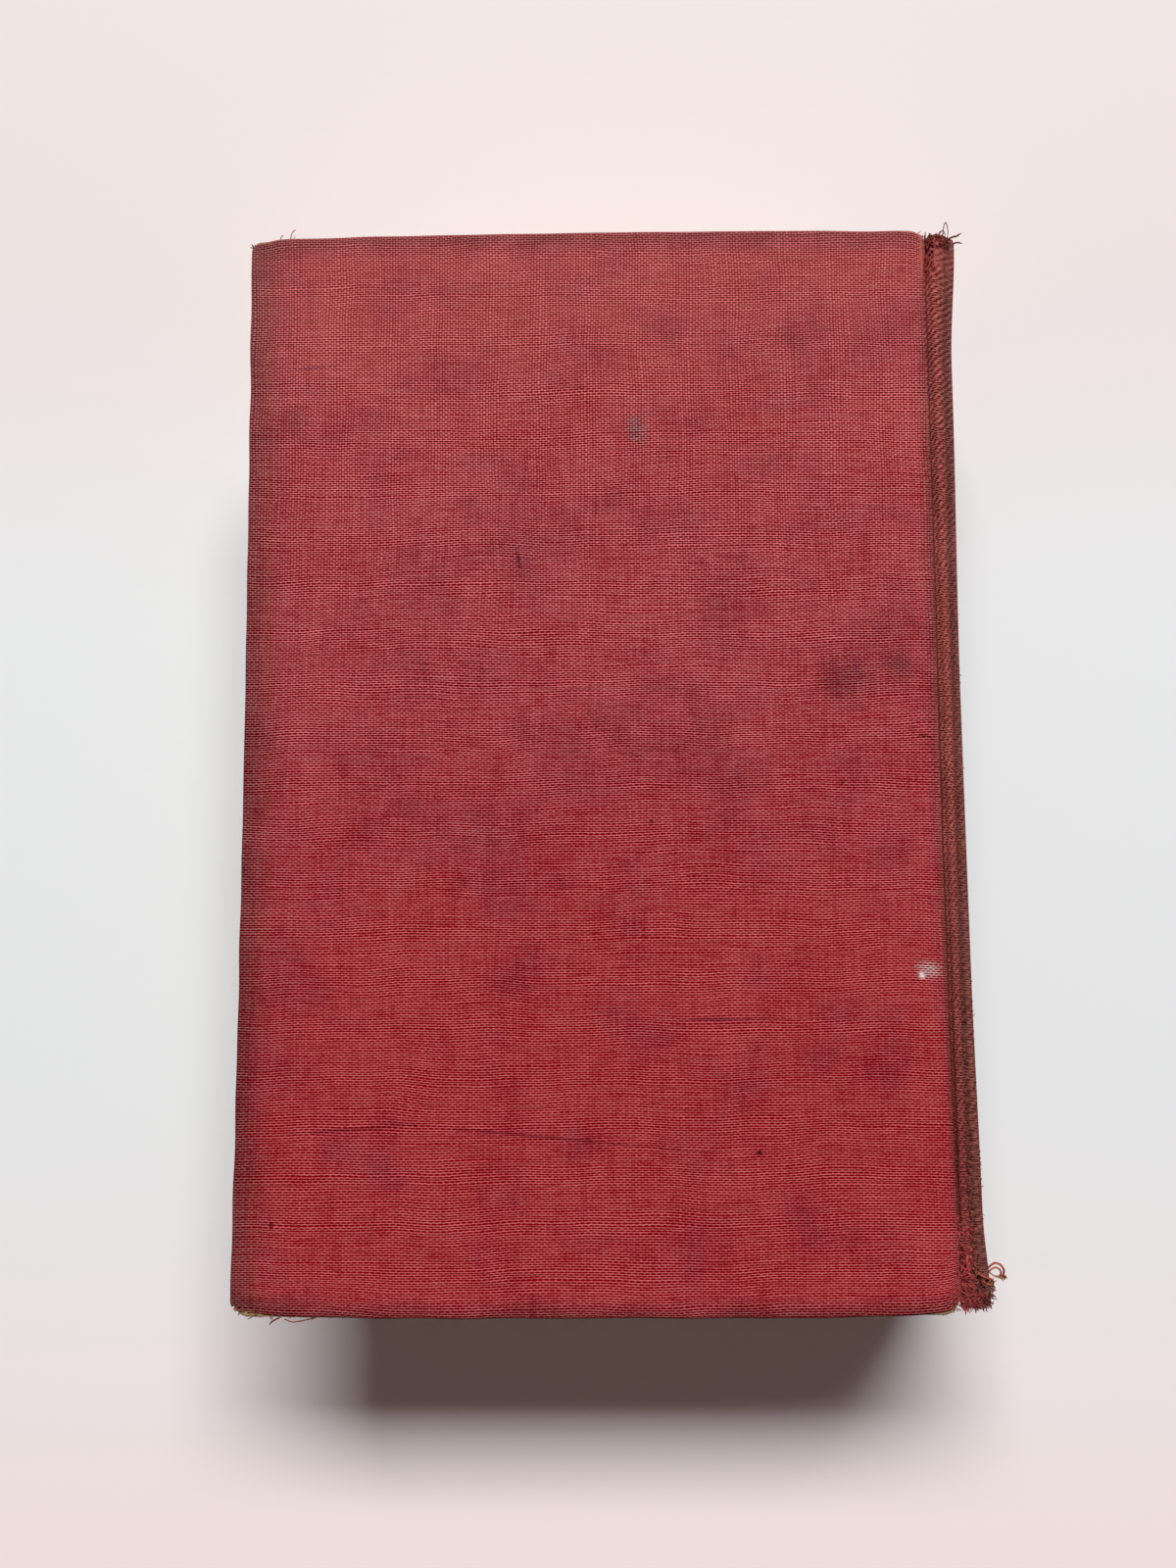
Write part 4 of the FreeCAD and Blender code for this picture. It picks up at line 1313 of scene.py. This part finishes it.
# Tufts: root, colour, middle of the roots, their spread, the way out, count, lengths, radius and curl.
# A depth of None is the surface of the joint.
threadTufts = [
    ("back", "rust", (-116.4, 96.6, 0.5), (1, 0.2, 0.2), (0.1, 1, 0.1), 14, (0.6, 1.5), 0.06, 0.5),
    ("back", "tan", (-121.6, 95.9, 0.6), (2.6, 0.3, 0.3), (-0.2, 1, 0), 22, (0.3, 0.8), 0.06, 0.6),
    ("back", "dark", (-124, 95.8, 0.6), (0.3, 0.4, 0.3), (-0.5, 0.7, 0), 8, (0.3, 0.8), 0.07, 0.5),
    ("back", "brown", (-122.4, -95.4, 0.8), (1.2, 0.8, 0.4), (-0.4, -0.7, 0), 18, (0.3, 0.8), 0.06, 0.6),
    ("back", "rust", (-117, -96.4, 0.4), (4, 0.2, 0.3), (-0.1, -1, 0), 24, (0.3, 0.9), 0.06, 0.7),
    ("back", "red", (-109.8, -96.6, 0.5), (0.5, 0.2, 0.2), (0, -1, 0.2), 12, (0.4, 0.9), 0.07, 0.8),
    ("back", "dark", (-60, -96.7, 0.5), (48, 0.1, 0.2), (0, -1, 0), 150, (0.15, 0.5), 0.05, 0.7),
    ("back", "brown", (-60, 96.7, 0.4), (56, 0.1, 0.2), (0, 1, 0), 150, (0.12, 0.4), 0.05, 0.7),
    ("back", "dark", (-124.2, -10, 0.6), (0.1, 84, 0.2), (-1, 0, 0), 140, (0.12, 0.4), 0.05, 0.7),
    ("back", "tan", (-124.1, -89.4, 0.5), (0.15, 1.4, 0.2), (-1, 0.1, 0.1), 26, (0.3, 0.7), 0.08, 0.6),
    ("back", "rust", (-0.3, 94, 0.2), (0.3, 2.4, 0.1), (0.8, 0.4, -0.1), 22, (0.3, 0.8), 0.06, 0.7),
    ("back", "rust", (-0.2, -88, 0.15), (0.3, 7, 0.1), (1, -0.2, 0.2), 90, (0.3, 0.8), 0.06, 0.7),
    ("back", "brown", (-1.2, -95.4, 0.3), (1.6, 0.5, 0.2), (0.4, -0.9, 0), 30, (0.3, 0.7), 0.06, 0.7),
    ("spine", "brown", (2.6, 0, None), (2.3, 95, 0.05), (0.2, 0, -0.6), 900, (0.25, 0.6), 0.055, 1),
    ("spine", "red", (2, 0, None), (1.6, 95, 0.05), (0.2, 0, -0.6), 420, (0.25, 0.6), 0.05, 1),
    ("spine", "dark", (2.6, -70, None), (2.3, 26, 0.1), (0.3, -0.2, -0.6), 420, (0.3, 0.9), 0.07, 1),
    ("spine", "brown", (3.6, -82, None), (1.6, 14, 0.1), (0.3, -0.2, -0.6), 420, (0.3, 0.9), 0.07, 1),
    ("spine", "red", (1.5, -88, None), (1.2, 7.6, 0.1), (0.2, -0.4, -0.5), 260, (0.5, 1.7), 0.085, 1),
    ("spine", "red", (1.4, 90, None), (1.1, 2.2, 0.1), (0.2, 0.3, -0.6), 110, (0.4, 1.2), 0.085, 1),
    ("spine", "dark", (2.4, 95.6, 1.3), (2, 1, 0.5), (0.2, 0.8, -0.4), 45, (0.4, 1.1), 0.08, 0.9),
    ("spine", "brown", (2.2, 95.4, 1.1), (1.9, 1, 0.4), (0.2, 0.6, -0.4), 90, (0.4, 1.1), 0.09, 0.9),
    ("spine", "red", (3, 94.8, 1), (1.8, 1, 0.3), (0.2, 0.5, -0.4), 70, (0.4, 1.1), 0.08, 0.9),
    ("spine", "brown", (4.6, 95.2, 1.4), (1, 0.8, 0.5), (0.3, 0.9, -0.1), 70, (0.4, 1.2), 0.08, 0.8),
    ("spine", "dark", (5.9, 94.6, 3.4), (0.8, 0.6, 1.4), (0.6, 0.8, -0.1), 40, (0.4, 1.2), 0.07, 0.8),
    ("spine", "dark", (3.6, -94.4, 1.6), (2.6, 1.2, 0.6), (0.2, -0.8, -0.3), 260, (0.5, 1.5), 0.09, 1),
    ("spine", "red", (2.6, -94.2, 1.2), (1.6, 0.9, 0.3), (0.2, -0.8, -0.2), 90, (0.5, 1.3), 0.08, 1),
    ("spine", "brown", (6, -92.8, 2.6), (0.9, 1, 1), (0.7, -0.7, -0.2), 90, (0.5, 1.3), 0.075, 1),
    ("spine", "tan", (8.5, -91.3, 2.1), (0.4, 0.3, 0.2), (0.5, -0.7, 0), 26, (0.3, 0.8), 0.07, 1),
    ("spine", "dark", (6.6, -94, 5.5), (0.7, 0.6, 2.6), (0.7, -0.6, 0), 50, (0.4, 1.1), 0.07, 0.9),
    ("front", "tan", (-123, 95.8, 0.9), (1.2, 0.9, 0.4), (-0.5, 0.7, 0), 14, (0.3, 0.8), 0.06, 0.6),
    ("front", "tan", (-123, -95.8, 0.9), (1.2, 0.9, 0.4), (-0.5, -0.7, 0), 14, (0.3, 0.8), 0.06, 0.6),
    ("spine", "dark", (5.6, 95.8, 40), (0.7, 0.4, 1.2), (0.5, 1, 0), 24, (0.3, 0.9), 0.06, 0.8),
    ("spine", "dark", (5.6, -95.8, 40), (0.7, 0.4, 1.2), (0.5, -1, 0), 24, (0.3, 0.9), 0.06, 0.8),
]


def bendyPath(points, count):
    # A smooth line through a few points
    pts = [np.array(p, float) for p in points]
    pts = [2 * pts[0] - pts[1]] + pts + [2 * pts[-1] - pts[-2]]
    out = []
    for a, b, c, d in zip(pts, pts[1:], pts[2:], pts[3:]):
        for t in np.linspace(0, 1, count, endpoint=False):
            curve = 2 * b + (c - a) * t + (2 * a - 5 * b + 4 * c - d) * t ** 2
            out.append(0.5 * (curve + (3 * b - a - 3 * c + d) * t ** 3))
    out.append(pts[-2])
    return np.array(out)


def addTube(store, path, radius, sides=5):
    points, faces = store
    start = len(points)
    ways = np.gradient(path, axis=0)
    ways = ways / np.maximum(np.linalg.norm(ways, axis=1)[:, None], 1e-9)
    up = np.array([0.2, 0.1, 1.0])
    count = len(path)
    for k in range(count):
        side = np.cross(ways[k], up)
        side = side / max(np.linalg.norm(side), 1e-9)
        lift = np.cross(side, ways[k])
        thin = radius * (1 - 0.65 * smooth(k / (count - 1), 0.8, 1.0))
        for n in range(sides):
            turn = 2 * math.pi * n / sides
            points.append(path[k] + (side * math.cos(turn) + lift * math.sin(turn)) * thin)
    for k in range(count - 1):
        for n in range(sides):
            a, b = start + k * sides + n, start + k * sides + (n + 1) % sides
            faces.append((a, b, b + sides, a + sides))
    faces.append(tuple(start + n for n in range(sides))[::-1])
    faces.append(tuple(start + (count - 1) * sides + n for n in range(sides)))


def tuftThread(rng, root, way, length, curl):
    # A short curling line from a root
    def strayed(heading, *spreads):
        heading = np.array(heading) + np.array([rng.gauss(0, spread) for spread in spreads])
        return heading / np.linalg.norm(heading)

    stray = threadSizes["stray"]
    heading = strayed(way, stray, stray, stray)
    reach = rng.uniform(*length)
    line = [root - heading * threadSizes["rooted"]]
    for _ in range(4):
        heading = strayed(heading, curl * 0.5, curl * 0.5, curl * 0.3)
        line.append(line[-1] + heading * reach / 4)
    return bendyPath(line, 2)


def makeThreads():
    rng = random.Random(21)
    stores = {}

    def storeFor(home, kind, x):
        home = "joint" if home == "spine" and x < threadSizes["inJoint"] else home
        return stores.setdefault((home, kind), ([], []))

    for home, kind, radius, points in handThreads:
        addTube(storeFor(home, kind, points[0][0]), bendyPath(points, 6), radius)
    sectionX, sectionDepth = sectionPath()[:-30].T
    for home, kind, middle, spread, way, count, lengths, radius, curl in threadTufts:
        for _ in range(count):
            root = np.array([(m or 0.0) + rng.uniform(-1, 1) * s for m, s in zip(middle, spread)])
            store = storeFor(home, kind, root[0])
            if middle[2] is None:
                root[2] += np.interp(root[0], sectionX, sectionDepth)
            line = tuftThread(rng, root, way, lengths, curl)
            addTube(store, line, radius * rng.uniform(*threadSizes["thickness"]), 4)
    for (home, kind), (points, faces) in stores.items():
        side = "front" if home == "front" else "back"
        placed = toFrame(side, *np.array(points).T)
        piece = makeMesh(home + kind.capitalize() + "Threads", placed, faces, threadMaterials[kind], side)
        "book_cloth" if kind != "white" else "gauze"
        if home == "joint":
            start, end = acrossJoint(*caseSizes["bend"])
            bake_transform(piece)
        else:
            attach(piece, threadBodies[home])
    print("threads:", len(stores), "groups")


makeThreads()


# Floor, light and camera

stageLook = {
    "floorMiddle": (237, 241, 242),
    "floorHead": (240, 231, 230),
    "floorTail": (250, 237, 236),
    "headPlace": (30.0, 120.0),     # mm from the book's middle, from one colour to the next
    "tailPlace": (-60.0, -170.0),
    "floorSize": 3.0,
    "floorGap": 0.02,
    "lightPower": 306.0,
    "lightDistance": 5.0,
    "lightSize": (3.50, 1.25),
    "lightHeight": 48.0,        # degrees above the floor
    "lightTurn": -4.5,          # degrees from the head towards the fore edge
    "ambient": (0.098, 0.070, 0.068),
    "cameraPlace": (-58.9, -25.4, 253.2),     # x from the board's spine-side edge
    "cameraTurn": (5.46, 0.99, -0.42),
    "lens": 27.0,
    "sensor": 36.0,
}


def makeStage():
    look = stageLook
    material, tree, shader = startMaterial("paleFloor", 0.7, 0.2)
    along = parts(objectPlace(tree))[1]
    colour = mixColour(remap(along, *look["headPlace"]), look["floorMiddle"], look["floorHead"])
    colour = mixColour(remap(along, *look["tailPlace"]), colour, look["floorTail"])
    feed(shader.inputs["Base Color"], colour)
    size = look["floorSize"]
    corners = [(-size, -size, 0), (size, -size, 0), (size, size, 0), (-size, size, 0)]
    mesh = bpy.data.meshes.new("floor")
    mesh.from_pydata(corners, [], [(0, 1, 2, 3)])
    mesh.materials.append(material)
    floor = addObject("floor", mesh)
    floor.location.z = -look["floorGap"] * mm

    world = bpy.data.worlds.new("softRoom")
    world.use_nodes = True
    back = world.node_tree.nodes["Background"]
    back.inputs["Color"].default_value = (*look["ambient"], 1)
    bpy.context.scene.world = world

    lamp = bpy.data.lights.new("window", "AREA")
    lamp.shape = "RECTANGLE"
    lamp.size, lamp.size_y = look["lightSize"]
    lamp.energy = look["lightPower"]
    lampPiece = addObject("window", lamp)
    high, turn = math.radians(look["lightHeight"]), math.radians(look["lightTurn"])
    way = Vector((-math.sin(turn) * math.cos(high), math.cos(turn) * math.cos(high), math.sin(high)))
    lampPiece.location = way * look["lightDistance"]
    lampPiece.rotation_euler = way.to_track_quat("Z", "Y").to_euler()

    camera = bpy.data.cameras.new("camera")
    camera.lens = look["lens"]
    camera.sensor_width = look["sensor"]
    camera.clip_start = 0.01
    cameraPiece = addObject("camera", camera)
    fromEdge, y, z = look["cameraPlace"]
    cameraPiece.location = Vector((jointX + fromEdge, y, z)) * mm
    cameraPiece.rotation_euler = [math.radians(v) for v in look["cameraTurn"]]
    bpy.context.scene.camera = cameraPiece
    bpy.context.scene.view_settings.view_transform = "Standard"
    print("stage: floor, window and camera")


makeStage()
